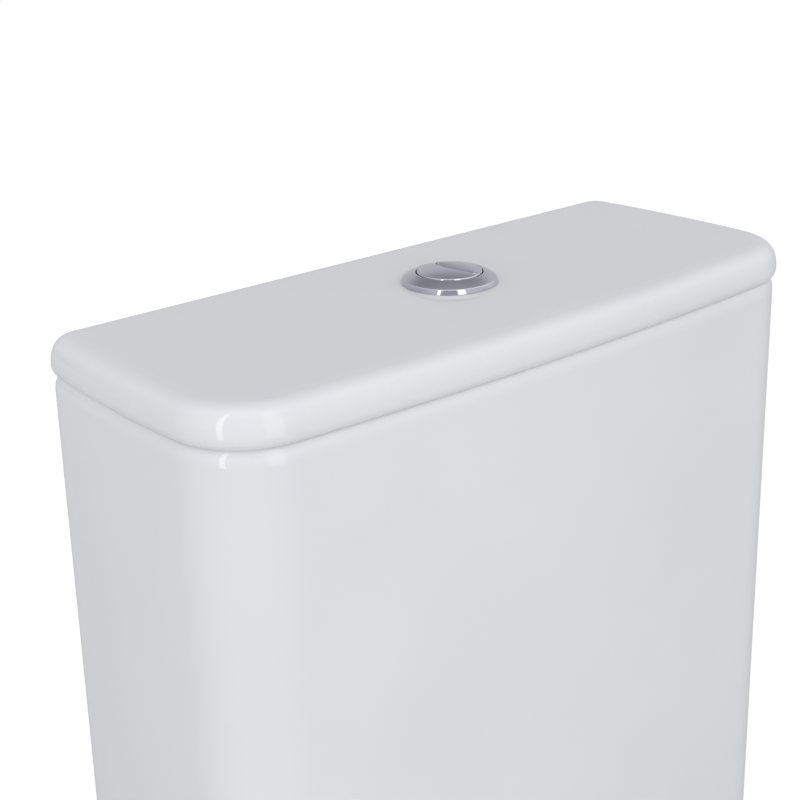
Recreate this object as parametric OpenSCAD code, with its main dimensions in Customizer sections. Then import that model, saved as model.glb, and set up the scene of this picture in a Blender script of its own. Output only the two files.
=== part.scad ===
// Close-coupled toilet cistern with a ceramic tank and lid, a two-piece push button,
// a two-lever drop valve, a float fill valve and the bolts that hold it to the pan.
// Millimetres. The origin is on the flush outlet's axis, level with the tank's underside.
// +Z is up, +Y points at the wall behind the cistern and +X is to the right seen from the front.

/* [Tank and lid] */
// Width of the lid across its widest line
lid_w = 375; // [355:1:410]
// Depth of the lid from front to back
lid_d = 153.5; // [150:0.5:190]
// Height of the lid above the tank's rim
lid_h = 18.5; // [16:0.5:26]
// Height of the tank from its underside to its rim
tank_h = 366; // [340:1:410]
// Distance from the outlet's axis to the wall
outlet_to_wall = 72; // [70:1:85]
// Thickness of the tank's ceramic walls
wall_t = 9.5; // [8:0.5:12]
// Thickness of the tank's floor
floor_t = 12; // [10:0.5:16]
// Radius of the front corners seen from above
front_r = 38; // [30:1:55]
// Radius of the back corners seen from above
back_r = 14; // [10:1:28]
// How far the front bulges at its middle
front_bow = 8; // [4:0.5:12]
// How far each side bulges at its middle
side_bow = 4.5; // [2:0.5:6]
// How far the tank's sides draw in towards the underside
side_taper = 0.5; // [0:0.5:12]
// How far the tank's front draws in towards the underside
front_taper = 0.5; // [0:0.5:14]
// Rounding round the underside's edge
base_round = 10; // [5:0.5:16]
// Rounding of the rim's outer edge
rim_round = 4; // [2:0.5:5]
// Rounding where the walls meet the floor inside
floor_round = 14; // [8:1:20]
// How far the lid overhangs the tank at the front and sides
lid_overhang = 1; // [0.5:0.1:4]
// How far the lid's edge tucks in below its widest line
lid_tuck = 1.8; // [1:0.2:6]
// Height of the lid's widest line above the rim
lid_belly = 3.8; // [2:0.2:9]
// How far the rounding of the lid's top reaches in
lid_shoulder = 9.2; // [6:0.2:18]
// Squareness of the lid's rounding: 2 gives an ellipse, more is fuller
lid_fullness = 2.5; // [2:0.1:3]
// Rise of the lid's top from its shoulder to its middle
lid_crown = 0.3; // [0.2:0.1:2]
// Thickness of the lid's plate
lid_plate = 10; // [8:0.5:12]
// Width of the band on the lid's underside that sits over the rim
lid_lip = 14; // [12:0.5:20]
// Depth of the lid's locating ribs below the rim
rib_h = 7; // [4:0.5:12]
// Length of each locating rib
rib_l = 90; // [50:1:110]
// Thickness of each locating rib
rib_t = 8; // [5:0.5:12]
// Gap from the ribs to the tank's inner walls
rib_gap = 2; // [1:0.5:5]

/* [Wall fixing] */
// Diameter of the two screw holes in the back wall
wall_hole_d = 8; // [6:0.5:10]
// Distance between the screw holes
wall_hole_pitch = 230; // [180:1:260]
// Distance of the screw holes below the rim
wall_hole_drop = 55; // [40:1:90]

/* [Push button] */
// Outer diameter of the bezel
bezel_d = 48; // [46:0.5:60]
// Height of the bezel's inner edge above the lid
bezel_h = 5.3; // [4.5:0.1:7]
// Height of the bezel's outer edge
bezel_edge = 2.4; // [1.2:0.1:3]
// How far the bezel's edge leans in
bezel_draft = 0.9; // [0.3:0.1:1.5]
// Diameter of the two buttons together
button_d = 32.2; // [30:0.2:36]
// Clearance round the buttons
button_gap = 0.4; // [0.3:0.05:0.8]
// Clearance between the two buttons along their curved split
split_gap = 0.9; // [0.4:0.1:1.2]
// Rise of the buttons' dome
button_dome = 1.6; // [0.8:0.1:3]
// Height of the buttons' edge above the bezel
button_proud = 0.6; // [0.2:0.1:1.5]
// Thickness of the buttons' skin
button_t = 2; // [1.4:0.1:2.6]
// How far a button is pressed
button_travel = 6; // [4:0.5:7]
// Wall of the threaded sleeve
sleeve_t = 2.5; // [2:0.1:3.5]
// Length of the sleeve below the lid's top
sleeve_l = 33; // [28:1:45]
// Clearance of the sleeve in the lid's hole
sleeve_gap = 1; // [0.5:0.1:2]
// Thickness of the nut under the lid
sleeve_nut_h = 8; // [5:0.5:12]
// Distance between the two push rods
rod_pitch = 18; // [18:0.5:19]
// Diameter of the push rods
rod_d = 5; // [4:0.5:5.5]
// Wire diameter of the return springs
spring_wire = 1; // [0.6:0.1:1.2]
// Turns of each return spring
spring_turns = 6; // [4:1:8]

/* [Flush valve] */
// Diameter of the outlet's bore
outlet_bore_d = 49; // [44:1:52]
// Diameter of the outlet's threaded tail
tail_d = 59.6; // [58:0.2:62]
// Length of the tail below the tank
tail_l = 46; // [42:1:60]
// Diameter of the flange inside the tank
valve_flange_d = 82; // [78:1:92]
// Height of the overflow above the tank's floor
overflow_h = 212; // [190:1:230]
// Outer diameter of the overflow tube
overflow_d = 28; // [24:1:30]
// Wall of the overflow tube
overflow_t = 2; // [1.5:0.1:3]
// Height of the valve's cage
cage_h = 59; // [50:1:70]
// Height of the float chamber above the cage
chamber_h = 72; // [64:1:80]
// Lever arm from its pin to the push rod
lever_pad_arm = 15; // [14:0.5:17]
// Lever arm outwards from its pin to the lifting bar
lever_lift_arm = 21; // [19:0.5:24]
// Drop from the lever's pin to the lifting bar
lever_drop = 30; // [28:0.5:34]
// Diameter of the lever pins
lever_pin_d = 4; // [3:0.5:5]

/* [Fill valve] */
// Distance of the fill valve's axis from the tank's left end
inlet_from_end = 61.5; // [55.5:1:67.5]
// Outer diameter of the inlet thread
inlet_d = 20.9; // [20:0.1:22]
// Length of the inlet thread below the tank
inlet_l = 50; // [44:1:60]
// Diameter of the riser
riser_d = 22; // [20:0.5:24]
// Height of the fill valve's head above the tank's floor
fill_head_h = 188; // [184:1:230]
// Diameter of the float
float_d = 58; // [50:1:60]
// Height of the float
float_h = 54; // [40:1:56]
// Travel of the float
float_travel = 20; // [14:1:20]
// Lever arm from its pin to the float's rod
float_arm = 36; // [34:1:40]

/* [Bolts to the pan] */
// Distance between the two bolts
bolt_pitch = 150; // [140:1:164]
// Diameter of the bolts
bolt_d = 8; // [6:0.5:10]
// Length of the bolts below the tank
bolt_l = 62; // [50:1:80]
// Across-flats size of the bolts' nuts
bolt_nut_af = 13; // [13:1:18]

/* [Hidden] */
$fn = 64;

// Clearances and small overlaps shared by many pieces.
// Running clearance between a pin and its bore
run_gap = 0.05;
// Clearance between pieces that move past each other
move_gap = 0.3;
// How far a tool shape reaches past the face that it cuts
cut = 1;
// How far joined shapes reach into each other
fuse = 0.5;

// Colours of the real materials.
china_white = "#EEEEF0";
chrome_grey = "#B9BBC4";
natural_white = "#E9E8E2";
pale_grey = "#B4B8BC";
valve_blue = "#3F78A8";
seal_red = "#A8493F";
rubber_black = "#2B2B2D";
zinc_grey = "#A9ABA8";

// Plan of the ceramic: sizes at the rim.
lid_a = lid_w/2;
wall_y = outlet_to_wall;
lid_front_y = wall_y - lid_d;
tank_a = lid_a - lid_overhang;
tank_front_y = lid_front_y + lid_overhang;
least_corner_r = 3;
front_steps = 8;
corner_steps = 10;
side_steps = 6;
back_steps = 6;

// Heights of the ceramic.
rim_z = tank_h;
lid_top_z = rim_z + lid_h;
plate_z = lid_top_z - lid_plate;
crown_inset = 45;
cavity_draft = 4;
cavity_round = 0.3;

// Push button, from the lid's top.
well_r = button_d/2 + button_gap;
sleeve_r = well_r + sleeve_t;
lid_hole_r = sleeve_r + sleeve_gap;
bezel_r = bezel_d/2;
bezel_lip = 0.6;
slope_bow = 0.25;
sleeve_seat = 2.5;
bezel_top_z = lid_top_z + bezel_h;
button_edge_z = bezel_top_z + button_proud;
button_skirt = 8;
button_skirt_t = 1.2;
button_edge_r = 0.8;
fall_r = 40;
fall_share = 0.44;
fall_place = 0.62;
sleeve_floor_t = 3;
sleeve_floor_z = lid_top_z - sleeve_l;
drain_r = 3;
drain_place = 0.62;
rod_x = rod_pitch/2;
rod_r = rod_d/2;
rod_seat = 6;
rod_end_gap = 1;
stem_t = 1.2;
stem_r = rod_r + stem_t;
stem_gap = 0.15;
stem_drop = 8;
stem_end_z = sleeve_floor_z - stem_drop;
stem_collar_t = 1.5;
stem_collar_r = stem_r + stem_collar_t;
spring_gap = 0.6;
spring_r = stem_r + spring_gap + spring_wire/2;
spring_end_gap = 0.15;
spring_low_z = sleeve_floor_z + sleeve_floor_t;
spring_high_z = button_edge_z - button_t;
sleeve_washer_t = 2;
sleeve_washer_inset = 1.5;
sleeve_nut_t = 8;
sleeve_nut_r = sleeve_r + sleeve_nut_t;
sleeve_nut_lobes = 10;
sleeve_nut_notch = 4;
// The split between the buttons, as x for a given y: a deep bow with a slight sway.
split_x = -1.6;
split_bow = 7;
split_sway = 0.4;
split_steps = 12;
split_reach = 0.6;

// Flush valve, from the tank's floor.
outlet_r = outlet_bore_d/2;
tail_r = tail_d/2;
spigot_step = 1.4;
spigot_r = tail_r - spigot_step;
spigot_l = 10;
outlet_hole_gap = 1.7;
outlet_hole_r = tail_r + outlet_hole_gap;
valve_washer_t = 3;
valve_washer_inset = 2;
flange_z = floor_t + valve_washer_t;
flange_t = 4;
flange_r = valve_flange_d/2;
seat_h = 3;
seat_z = flange_z + flange_t + seat_h;
seat_flare = 2.5;
seat_cone = 5;
seat_w = 2.5;
seat_in_r = outlet_r + seat_flare;
seat_out_r = seat_in_r + seat_w;
seal_t = 3;
seal_overlap = 1.5;
seal_r = seat_out_r + seal_overlap;
retainer_t = 3;
retainer_inset = 3.5;
cage_gap = 2.5;
cage_in_r = seal_r + cage_gap;
cage_t = 3;
cage_out_r = cage_in_r + cage_t;
cage_posts = 6;
cage_post_angle = 16;
cage_top_z = flange_z + flange_t + cage_h;
cage_ring_h = 8;
cage_ring_step = 1;
cage_ring_r = cage_out_r + cage_ring_step;
backnut_t = 9;
backnut_r = tail_r + backnut_t;
backnut_h = 14;
backnut_lobes = 12;
backnut_notch = 5;
pan_seal_h = 20;
pan_seal_t = 15;
pan_seal_r = tail_r + pan_seal_t;
pan_seal_chamfer = 4;
tube_r = overflow_d/2;
overflow_z = floor_t + overflow_h;
hub_inset = 4;
hub_r = seal_r - hub_inset;
hub_t = 3;
hub_slope = 4;
chamber_t = 2.5;
chamber_out_r = cage_in_r - move_gap;
chamber_in_r = chamber_out_r - chamber_t;
chamber_top_z = cage_top_z + chamber_h;
chamber_top_t = 3;
chamber_foot = 3;
chamber_tube_gap = 2;
slot_count = 6;
slot_half_w = 6;
slot_low = 12;
slot_high = 14;
tower_plate_gap = 5.5;
tower_plate_in = tube_r + tower_plate_gap;
tower_plate_t = 3.5;
tower_plate_out = tower_plate_in + tower_plate_t;
window_half_w = 0.32;
window_low = 14;
window_high = 8;
lift_ring_h = 12;
lift_ring_t = 3.5;
lift_ring_r = tube_r + lift_ring_t;
wing_t = 5;
wing_half_w = 6;
wing_drop = 1;
wing_root = 1.5;
wing_rib_half_t = 2;
wing_rib_gap = 4;
wing_z = overflow_z - wing_t - wing_drop;
bar_r = 2;
bar_z = wing_z - move_gap - bar_r;
bar_boss = 1.5;
pin_r = lever_pin_d/2;
pin_boss = 3;
pin_end = 0.5;
pin_x = rod_x + lever_pad_arm;
pin_z = bar_z + lever_drop;
bar_x = pin_x + lever_lift_arm;
cheek_gap = 3;
cheek_in = wing_half_w + cheek_gap;
cheek_t = 3.5;
cheek_out = cheek_in + cheek_t;
pad_rise = 3;
pad_t = 4;
pad_reach = 5;
rod_tip_z = pin_z + pad_rise + move_gap + run_gap;
guide_rise = 10;
guide_low_z = pin_z + guide_rise;
guide_t = 4;
guide_gap = 1;
tower_end = 5;
tower_half_l = pin_x + tower_end;
// How far a full press turns a lever, in degrees, and where that takes its lifting bar.
lever_swing = button_travel/lever_pad_arm*180/PI;
bar_reach_x = pin_x + lever_lift_arm*cos(lever_swing) + lever_drop*sin(lever_swing);
wing_spare = 2;
wing_end_x = bar_reach_x + bar_r + wing_spare;
lift_slack = 0.1;
lift_travel = lever_lift_arm*sin(lever_swing) + lever_drop*(1 - cos(lever_swing)) + lift_slack;
link_r = 2.2;
link_wall = 1.6;
link_gap = 0.2;
link_place = 2.8;
link_x = chamber_out_r + link_place + link_r;
link_ear = 4;
link_ear_half_w = 7;
link_ear_x = link_x + link_r + link_ear;
bridge_t = 5;
bridge_root = 6;
float_skin = 1.8;
float_spare = 2;
ring_float_rise = 8;
ring_float_gap = 1.5;
ring_float_low_z = cage_top_z + ring_float_rise;
ring_float_h = chamber_top_z - chamber_top_t - ring_float_low_z - lift_travel - float_spare;
ring_float_r = chamber_in_r - ring_float_gap;
side_float_rise = 10;
side_float_low_z = cage_top_z + side_float_rise;
side_float_h = chamber_top_z - link_ear - side_float_low_z - lift_travel - float_spare;
side_float_gap = 1;
side_float_l = 28;
side_float_half_w = 17;

// Fill valve.
fill_x = inlet_from_end - tank_a;
inlet_r = inlet_d/2;
inlet_hole_gap = 1;
inlet_bore_r = 5;
thread_relief = 3;
thread_relief_depth = 1;
thread_relief_gap = 4;
fill_nut_h = 12;
fill_nut_t = 6.5;
fill_nut_lobes = 8;
fill_nut_notch = 3;
fill_washer_t = 3;
fill_flange_z = floor_t + fill_washer_t;
fill_flange_t = 4;
fill_flange_w = 6;
fill_flange_r = inlet_r + fill_flange_w;
filter_inset = 2;
filter_rim_h = 3;
filter_rim_t = 1.2;
filter_taper = 0.6;
filter_l = 24;
riser_r = riser_d/2;
riser_seat = 10;
head_z = floor_t + fill_head_h;
head_t = 7;
head_r = riser_r + head_t;
head_h = 36;
head_wall = 4;
head_well = 14;
head_neck_h = 4;
head_neck_t = 3;
head_neck_r = riser_r + head_neck_t;
head_top_z = head_z + head_h;
diaphragm_t = 2.5;
diaphragm_inset = 0.5;
cap_skirt = 10;
cap_low_z = head_top_z - cap_skirt;
cap_t = 2.2;
cap_r = head_r + cap_t;
cap_plate = 5.5;
cap_top_z = head_top_z + diaphragm_t + cap_plate;
vent_r = 1.2;
float_gap = 0.6;
float_in_r = riser_r + float_gap;
float_r = float_d/2;
float_top_t = 2.5;
float_top_gap = 4;
float_low_z = head_z - head_neck_h - float_top_gap - float_travel - float_h;
float_top_z = float_low_z + float_h;
float_lug_h = 10;
float_lug_r = 5;
float_lug_root = 1.5;
stop_h = 4;
stop_w = 3;
stop_r = riser_r + stop_w;
fill_pin_r = 1.5;
fill_pin_place = 9;
fill_pin_rise = 12;
fill_pin_x = fill_x + fill_pin_place;
fill_pin_z = cap_top_z + fill_pin_rise;
// The lever swings equally far below and above level, and rests with the float down.
fill_swing = float_travel/float_arm*180/PI;
fork_r = 3;
fork_l = 12;
fork_gap = 0.8;
prong_half_h = 1.2;
fill_bar_half_h = 3;
nose_place = 3;
nose_end = 4;
nose_r = 2;
nose_l = 5;
float_rod_r = 2.2;
float_rod_x = fill_pin_x + float_arm*(1 + cos(fill_swing/2))/2;
float_rod_seat = 14;
float_rod_end = 4;
fork_rest_z = fill_pin_z - float_arm*sin(fill_swing/2);
collar_r = 5.5;
collar_t = 2;
collar_gap = 0.6;
ear_in = 6;
ear_t = 3;
ear_half_l = 5;
ear_rise = 4;
spout_clear = 9;
spout_y = float_r + spout_clear;
spout_r = 6;
spout_bore_r = 4.5;
spout_rise = 8;
spout_z = head_z + spout_rise;
socket_t = 2;
socket_r = spout_r + socket_t;
socket_drop = 12;
socket_rise = 8;
socket_depth = 2;
silencer_low = 14;
silencer_gap = 1;

// Bolts to the pan. The studs are a little thicker than the shanks above them.
bolt_r = bolt_d/2;
shank_step = 0.6;
shank_r = bolt_r - shank_step;
bolt_hole_gap = 2;
bolt_hole_r = bolt_r + bolt_hole_gap;
bolt_seal_t = 5;
bolt_seal_w = 10;
bolt_seal_r = bolt_r + bolt_seal_w;
bolt_plug_h = 4;
bolt_plug_gap = 0.1;
bolt_plug_taper = 0.5;
bolt_washer_t = 1.5;
bolt_washer_w = 6;
bolt_washer_r = bolt_r + bolt_washer_w;
bolt_head_w = 5;
bolt_head_r = bolt_r + bolt_head_w;
bolt_head_h = 5;
bolt_slot_half_w = 0.9;
bolt_slot_depth = 2;
bolt_nut_h = 6.5;
bolt_head_z = floor_t + bolt_seal_t + bolt_washer_t;
bolt_nut_low_z = -bolt_washer_t - bolt_nut_h;
stud_gap = 1.5;
stud_top_z = bolt_nut_low_z - stud_gap;

// Shapes that many pieces share.

// Points along an arc, leaving out the first so that arcs can follow each other.
function arc(centre, r, from, to, steps) =
  [for (i = [1:steps]) let (t = from + (to - from)*i/steps) centre + r*[cos(t), sin(t)]];

// The lower right crossing of two circles.
function crossing(p, rp, q, rq) =
  let (d = norm(q - p), u = (q - p)/d, s = (d*d + rp*rp - rq*rq)/(2*d))
  p + s*u + sqrt(max(0, rp*rp - s*s))*[-u.y, u.x];

// Outline of the ceramic seen from above, anticlockwise from the front's middle: a bowed front,
// bowed sides and a flat back joined by round corners, moved inwards by inset.
function plan(a, front_y, inset) =
  let (
    half_d = (wall_y - front_y)/2,
    mid_y = (wall_y + front_y)/2,
    bow_r = (a*a + front_bow*front_bow)/(2*front_bow),
    side_r = (half_d*half_d + side_bow*side_bow)/(2*side_bow),
    bow_c = [0, front_y + bow_r],
    side_c = [a - side_r, mid_y],
    fr = max(front_r - inset, least_corner_r),
    br = max(back_r - inset, least_corner_r),
    back_y = wall_y - inset,
    front_c = crossing(bow_c, bow_r - inset - fr, side_c, side_r - inset - fr),
    back_c = [side_c.x + sqrt(pow(side_r - inset - br, 2) - pow(back_y - br - mid_y, 2)), back_y - br],
    front_end = atan2(front_c.y - bow_c.y, front_c.x - bow_c.x),
    side_from = atan2(front_c.y - side_c.y, front_c.x - side_c.x),
    side_to = atan2(back_c.y - side_c.y, back_c.x - side_c.x),
    right = concat(
      [[0, front_y + inset]],
      arc(bow_c, bow_r - inset, -90, front_end, front_steps),
      arc(front_c, fr, front_end, side_from, corner_steps),
      arc(side_c, side_r - inset, side_from, side_to, side_steps),
      arc(back_c, br, side_to, 90, back_steps)
    )
  )
  concat(right, [for (i = [len(right) - 1:-1:1]) [-right[i].x, right[i].y]]);

// A ring of the plan at height z.
function lifted(points, z) = [for (p = points) [p.x, p.y, z]];

// A closed skin through rings of equal length, with flat ends.
module loft(rings) {
  n = len(rings[0]);
  sides = [
    for (k = [0:len(rings) - 2], i = [0:n - 1])
      let (j = (i + 1)%n, a = k*n + i, b = a + n, c = (k + 1)*n + j, d = k*n + j)
        each [[a, b, c], [a, c, d]]
  ];
  low = [for (i = [0:n - 1]) i];
  high = [for (i = [n - 1:-1:0]) (len(rings) - 1)*n + i];
  polyhedron([for (r = rings) each r], concat([low], sides, [high]), convexity = 8);
}

// A tube between two heights about the Z axis.
module tube(r_in, r_out, z_low, z_high) {
  rotate_extrude() translate([r_in, z_low]) square([r_out - r_in, z_high - z_low]);
}

// A round post between two heights.
module post(r, z_low, z_high) {
  translate([0, 0, z_low]) cylinder(r = r, h = z_high - z_low);
}

// A block given by its lowest and highest corners.
module block(low, high) {
  translate(low) cube(high - low);
}

// A round bar along Y, centred on the XZ plane.
module cross_bar(x, z, r, half_l) {
  translate([x, half_l, z]) rotate([90, 0, 0]) cylinder(r = r, h = 2*half_l);
}

// A nut of n lobes, with its bore.
module lobed_nut(r_in, r_out, z_low, z_high, lobes, notch_r) {
  notch_x = r_out + notch_r/2;
  difference() {
    tube(r_in, r_out, z_low, z_high);
    for (i = [0:lobes - 1])
      rotate([0, 0, 360/lobes*(i + 0.5)]) translate([notch_x, 0, 0])
        post(notch_r, z_low - cut, z_high + cut);
  }
}

// Copies at the two bolts.
module at_bolts() {
  for (s = [-1, 1]) translate([s*bolt_pitch/2, 0, 0]) children();
}

// Ceramic tank and lid.

// One ring of the tank at height z, moved inwards by inset.
function tank_ring(z, inset) =
  let (low = 1 - z/tank_h)
  lifted(plan(tank_a - side_taper*low, tank_front_y + front_taper*low, inset), z);

module cistern_tank() {
  outside = concat(
    [for (t = [0:22.5:90]) tank_ring(base_round*(1 - cos(t)), base_round*(1 - sin(t)))],
    [for (t = [0:30:90]) tank_ring(rim_z - rim_round*(1 - sin(t)), rim_round*(1 - cos(t)))]
  );
  inside = concat(
    [tank_ring(rim_z, wall_t)],
    [for (t = [0:22.5:90])
      tank_ring(floor_t + floor_round*(1 - sin(t)), wall_t + floor_round*(1 - cos(t)))]
  );
  color(china_white) difference() {
    loft(concat(outside, inside));
    post(outlet_hole_r, -cut, floor_t + cut);
    translate([fill_x, 0, 0]) post(inlet_r + inlet_hole_gap, -cut, floor_t + cut);
    at_bolts() post(bolt_hole_r, -cut, floor_t + cut);
    for (s = [-1, 1])
      translate([s*wall_hole_pitch/2, wall_y + cut, rim_z - wall_hole_drop]) rotate([90, 0, 0])
        cylinder(d = wall_hole_d, h = wall_t + 2*cut);
  }
}

// One ring of the lid at height z, moved inwards by inset.
function lid_ring(z, inset) = lifted(plan(lid_a, lid_front_y, inset), z);

module cistern_lid() {
  shoulder_h = lid_h - lid_crown - lid_belly;
  edge_power = 2/lid_fullness;
  skin = concat(
    [
      lid_ring(plate_z, lid_lip + cavity_draft),
      lid_ring(plate_z - (plate_z - rim_z)*cavity_round, lid_lip + cavity_draft*cavity_round),
      lid_ring(rim_z, lid_lip)
    ],
    [for (t = [0:22.5:90]) lid_ring(rim_z + lid_belly*(1 - cos(t)), lid_tuck*(1 - sin(t)))],
    [for (t = [15:15:90])
      lid_ring(
        rim_z + lid_belly + shoulder_h*pow(sin(t), edge_power),
        lid_shoulder*(1 - pow(cos(t), edge_power))
      )],
    [lid_ring(lid_top_z, crown_inset)]
  );
  rib_back = wall_y - wall_t - rib_gap;
  rib_sag = front_bow*pow((lid_a + rib_l)/(2*tank_a), 2);
  rib_front = tank_front_y + rib_sag + wall_t + rib_gap;
  color(china_white) difference() {
    union() {
      loft(skin);
      for (s = [-1, 1]) {
        x = s*lid_a/2;
        block([x - rib_l/2, rib_back - rib_t, rim_z - rib_h], [x + rib_l/2, rib_back, plate_z + cut]);
        block([x - rib_l/2, rib_front, rim_z - rib_h], [x + rib_l/2, rib_front + rib_t, plate_z + cut]);
      }
    }
    post(lid_hole_r, plate_z - cut, lid_top_z + cut);
  }
}

// Push button.

module button_bezel() {
  // A slightly convex slope from the leaning edge to the well, then a small chamfer into it.
  rise = bezel_h - bezel_edge;
  edge_r = bezel_r - bezel_draft;
  run = edge_r - well_r - bezel_lip;
  slope = [for (s = [0:0.1:1]) [edge_r - run*s, bezel_edge + rise*(s + slope_bow*s*(1 - s))]];
  profile = concat(
    [[sleeve_r + run_gap, 0], [bezel_r, 0]],
    slope,
    [[well_r, bezel_h - bezel_lip], [well_r, sleeve_seat], [sleeve_r + run_gap, sleeve_seat]]
  );
  color(chrome_grey) translate([0, 0, lid_top_z]) rotate_extrude() polygon(profile);
}

module button_sleeve() {
  color(natural_white) difference() {
    union() {
      tube(well_r, sleeve_r, sleeve_floor_z, lid_top_z + sleeve_seat);
      post(well_r + fuse, sleeve_floor_z, sleeve_floor_z + sleeve_floor_t);
    }
    for (s = [-1, 1]) translate([s*rod_x, 0, 0])
      post(stem_r + stem_gap, sleeve_floor_z - cut, sleeve_floor_z + sleeve_floor_t + cut);
    // Drain slots in the sleeve's floor.
    for (s = [-1, 1]) translate([0, s*well_r*drain_place, 0])
      post(drain_r, sleeve_floor_z - cut, sleeve_floor_z + sleeve_floor_t + cut);
  }
}

module sleeve_washer() {
  color(rubber_black)
    tube(sleeve_r + run_gap, sleeve_nut_r - sleeve_washer_inset, plate_z - sleeve_washer_t, plate_z);
}

module sleeve_nut() {
  high = plate_z - sleeve_washer_t;
  low = high - sleeve_nut_h;
  color(natural_white)
    lobed_nut(sleeve_r + run_gap, sleeve_nut_r, low, high, sleeve_nut_lobes, sleeve_nut_notch);
}

// Where the split runs at depth y.
function split_at(y) =
  split_x + split_bow*pow(y*2/button_d, 2) - split_sway*sin(180*y*2/button_d);

// One side of the split seen from above, moved away from it by back: side -1 is left.
module split_side(side, back) {
  reach = button_d;
  half_l = button_d*split_reach;
  edge = [
    for (i = [-split_steps:split_steps]) let (y = i/split_steps*half_l) [split_at(y) + side*back, y]
  ];
  far = side*reach;
  polygon(concat(edge, [[far, half_l], [far, -half_l]]));
}

// A domed disc with a rounded edge, from z_low up to the buttons' top.
module button_disc(r, z_low, edge_z, dome) {
  edge_r = button_edge_r;
  dome_r = (pow(r - edge_r, 2) + dome*dome)/(2*dome);
  swing = asin((r - edge_r)/dome_r);
  profile = concat(
    [[0, z_low], [r, z_low], [r, edge_z - edge_r]],
    arc([r - edge_r, edge_z - edge_r], edge_r, 0, 90 - swing, 4),
    [for (i = [1:8]) let (t = swing*(1 - i/8)) [dome_r*sin(t), edge_z + dome - dome_r*(1 - cos(t))]]
  );
  rotate_extrude() polygon(profile);
}

// One button: its domed skin, the wall along the split and the stem with its collar.
module push_button(side) {
  skirt_z = button_edge_z - button_skirt;
  r = button_d/2;
  difference() {
    union() {
      difference() {
        intersection() {
          button_disc(r, skirt_z, button_edge_z, button_dome);
          translate([0, 0, skirt_z - cut]) linear_extrude(button_skirt + button_dome + 2*cut)
            split_side(side, split_gap/2);
        }
        intersection() {
          post(r - button_skirt_t, skirt_z - cut, button_edge_z - button_t);
          translate([0, 0, skirt_z - 2*cut]) linear_extrude(button_skirt + 2*cut)
            split_side(side, split_gap/2 + button_skirt_t);
        }
      }
      translate([side*rod_x, 0, 0]) {
        post(stem_r, stem_end_z, button_edge_z - button_t + fuse);
        post(stem_collar_r, stem_end_z, sleeve_floor_z - move_gap);
      }
    }
    translate([side*rod_x, 0, 0])
      post(rod_r + run_gap, stem_end_z - cut, spring_high_z - rod_seat);
  }
}

module full_flush_button() {
  color(chrome_grey) push_button(-1);
}

module half_flush_button() {
  // The smaller button falls away in a round towards the split.
  fall_x = button_d/2*fall_place;
  fall_z = button_edge_z + button_dome*(1 - fall_share);
  color(chrome_grey) difference() {
    push_button(1);
    difference() {
      block([-button_d, -button_d, fall_z - fall_r], [fall_x, button_d, fall_z + fall_r]);
      cross_bar(fall_x, fall_z - fall_r, fall_r, button_d + cut);
    }
  }
}

// Points along a spring's wire, from its low end to its high end.
ring_steps = 8;
wire_sides = 6;
function coil_point(i, low, high) =
  let (t = 360*i/ring_steps, rise = (high - low)/(spring_turns*ring_steps))
  [spring_r*cos(t), spring_r*sin(t), low + rise*i];

// One ring of the wire, square to the coil.
function wire_ring(i, low, high) =
  let (
    p = coil_point(i, low, high),
    t = 360*i/ring_steps,
    out = [cos(t), sin(t), 0],
    slope = atan2((high - low)/spring_turns, 2*PI*spring_r),
    up = [sin(t)*sin(slope), -cos(t)*sin(slope), cos(slope)]
  )
  [for (k = [0:wire_sides - 1])
    let (s = 360*k/wire_sides) p + spring_wire/2*(cos(s)*out + sin(s)*up)];

spring_end = spring_wire/2 + spring_end_gap;
spring_ends = [spring_low_z + spring_end, spring_high_z - spring_end];
spring_pitch = norm(coil_point(ring_steps, spring_ends[0], spring_ends[1])
  - coil_point(0, spring_ends[0], spring_ends[1]));
echo(least_spring_gap = spring_pitch - spring_wire);

module return_spring(side) {
  rings = [for (i = [spring_turns*ring_steps:-1:0]) wire_ring(i, spring_ends[0], spring_ends[1])];
  translate([side*rod_x, 0, 0]) loft(rings);
}

module full_flush_spring() {
  color(zinc_grey) return_spring(-1);
}

module half_flush_spring() {
  color(zinc_grey) return_spring(1);
}

// A push rod, screwed up into its button's stem and round at its tip.
module push_rod(side) {
  translate([side*rod_x, 0, 0]) {
    post(rod_r, rod_tip_z + rod_r, spring_high_z - rod_seat - rod_end_gap);
    translate([0, 0, rod_tip_z + rod_r]) sphere(r = rod_r);
  }
}

module full_flush_rod() {
  color(natural_white) push_rod(-1);
}

module half_flush_rod() {
  color(natural_white) push_rod(1);
}

// Flush valve.

module valve_base() {
  profile = [
    [outlet_r, -tail_l], [spigot_r, -tail_l], [spigot_r, spigot_l - tail_l],
    [tail_r, spigot_l - tail_l], [tail_r, flange_z], [flange_r, flange_z],
    [flange_r, flange_z + flange_t], [seat_out_r, flange_z + flange_t], [seat_out_r, seat_z],
    [seat_in_r, seat_z], [outlet_r, seat_z - seat_cone]
  ];
  post_low = flange_z + flange_t - fuse;
  color(natural_white) union() {
    rotate_extrude() polygon(profile);
    for (i = [0:cage_posts - 1]) rotate([0, 0, 360/cage_posts*i - cage_post_angle/2])
      rotate_extrude(angle = cage_post_angle)
        translate([cage_in_r + fuse, post_low])
          square([cage_t - fuse, cage_top_z - cage_ring_h + fuse - post_low]);
    tube(cage_in_r, cage_ring_r, cage_top_z - cage_ring_h, cage_top_z);
  }
}

module valve_washer() {
  color(rubber_black) tube(tail_r + run_gap, flange_r - valve_washer_inset, floor_t, flange_z);
}

module valve_backnut() {
  color(natural_white)
    lobed_nut(tail_r + run_gap, backnut_r, -backnut_h, 0, backnut_lobes, backnut_notch);
}

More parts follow.
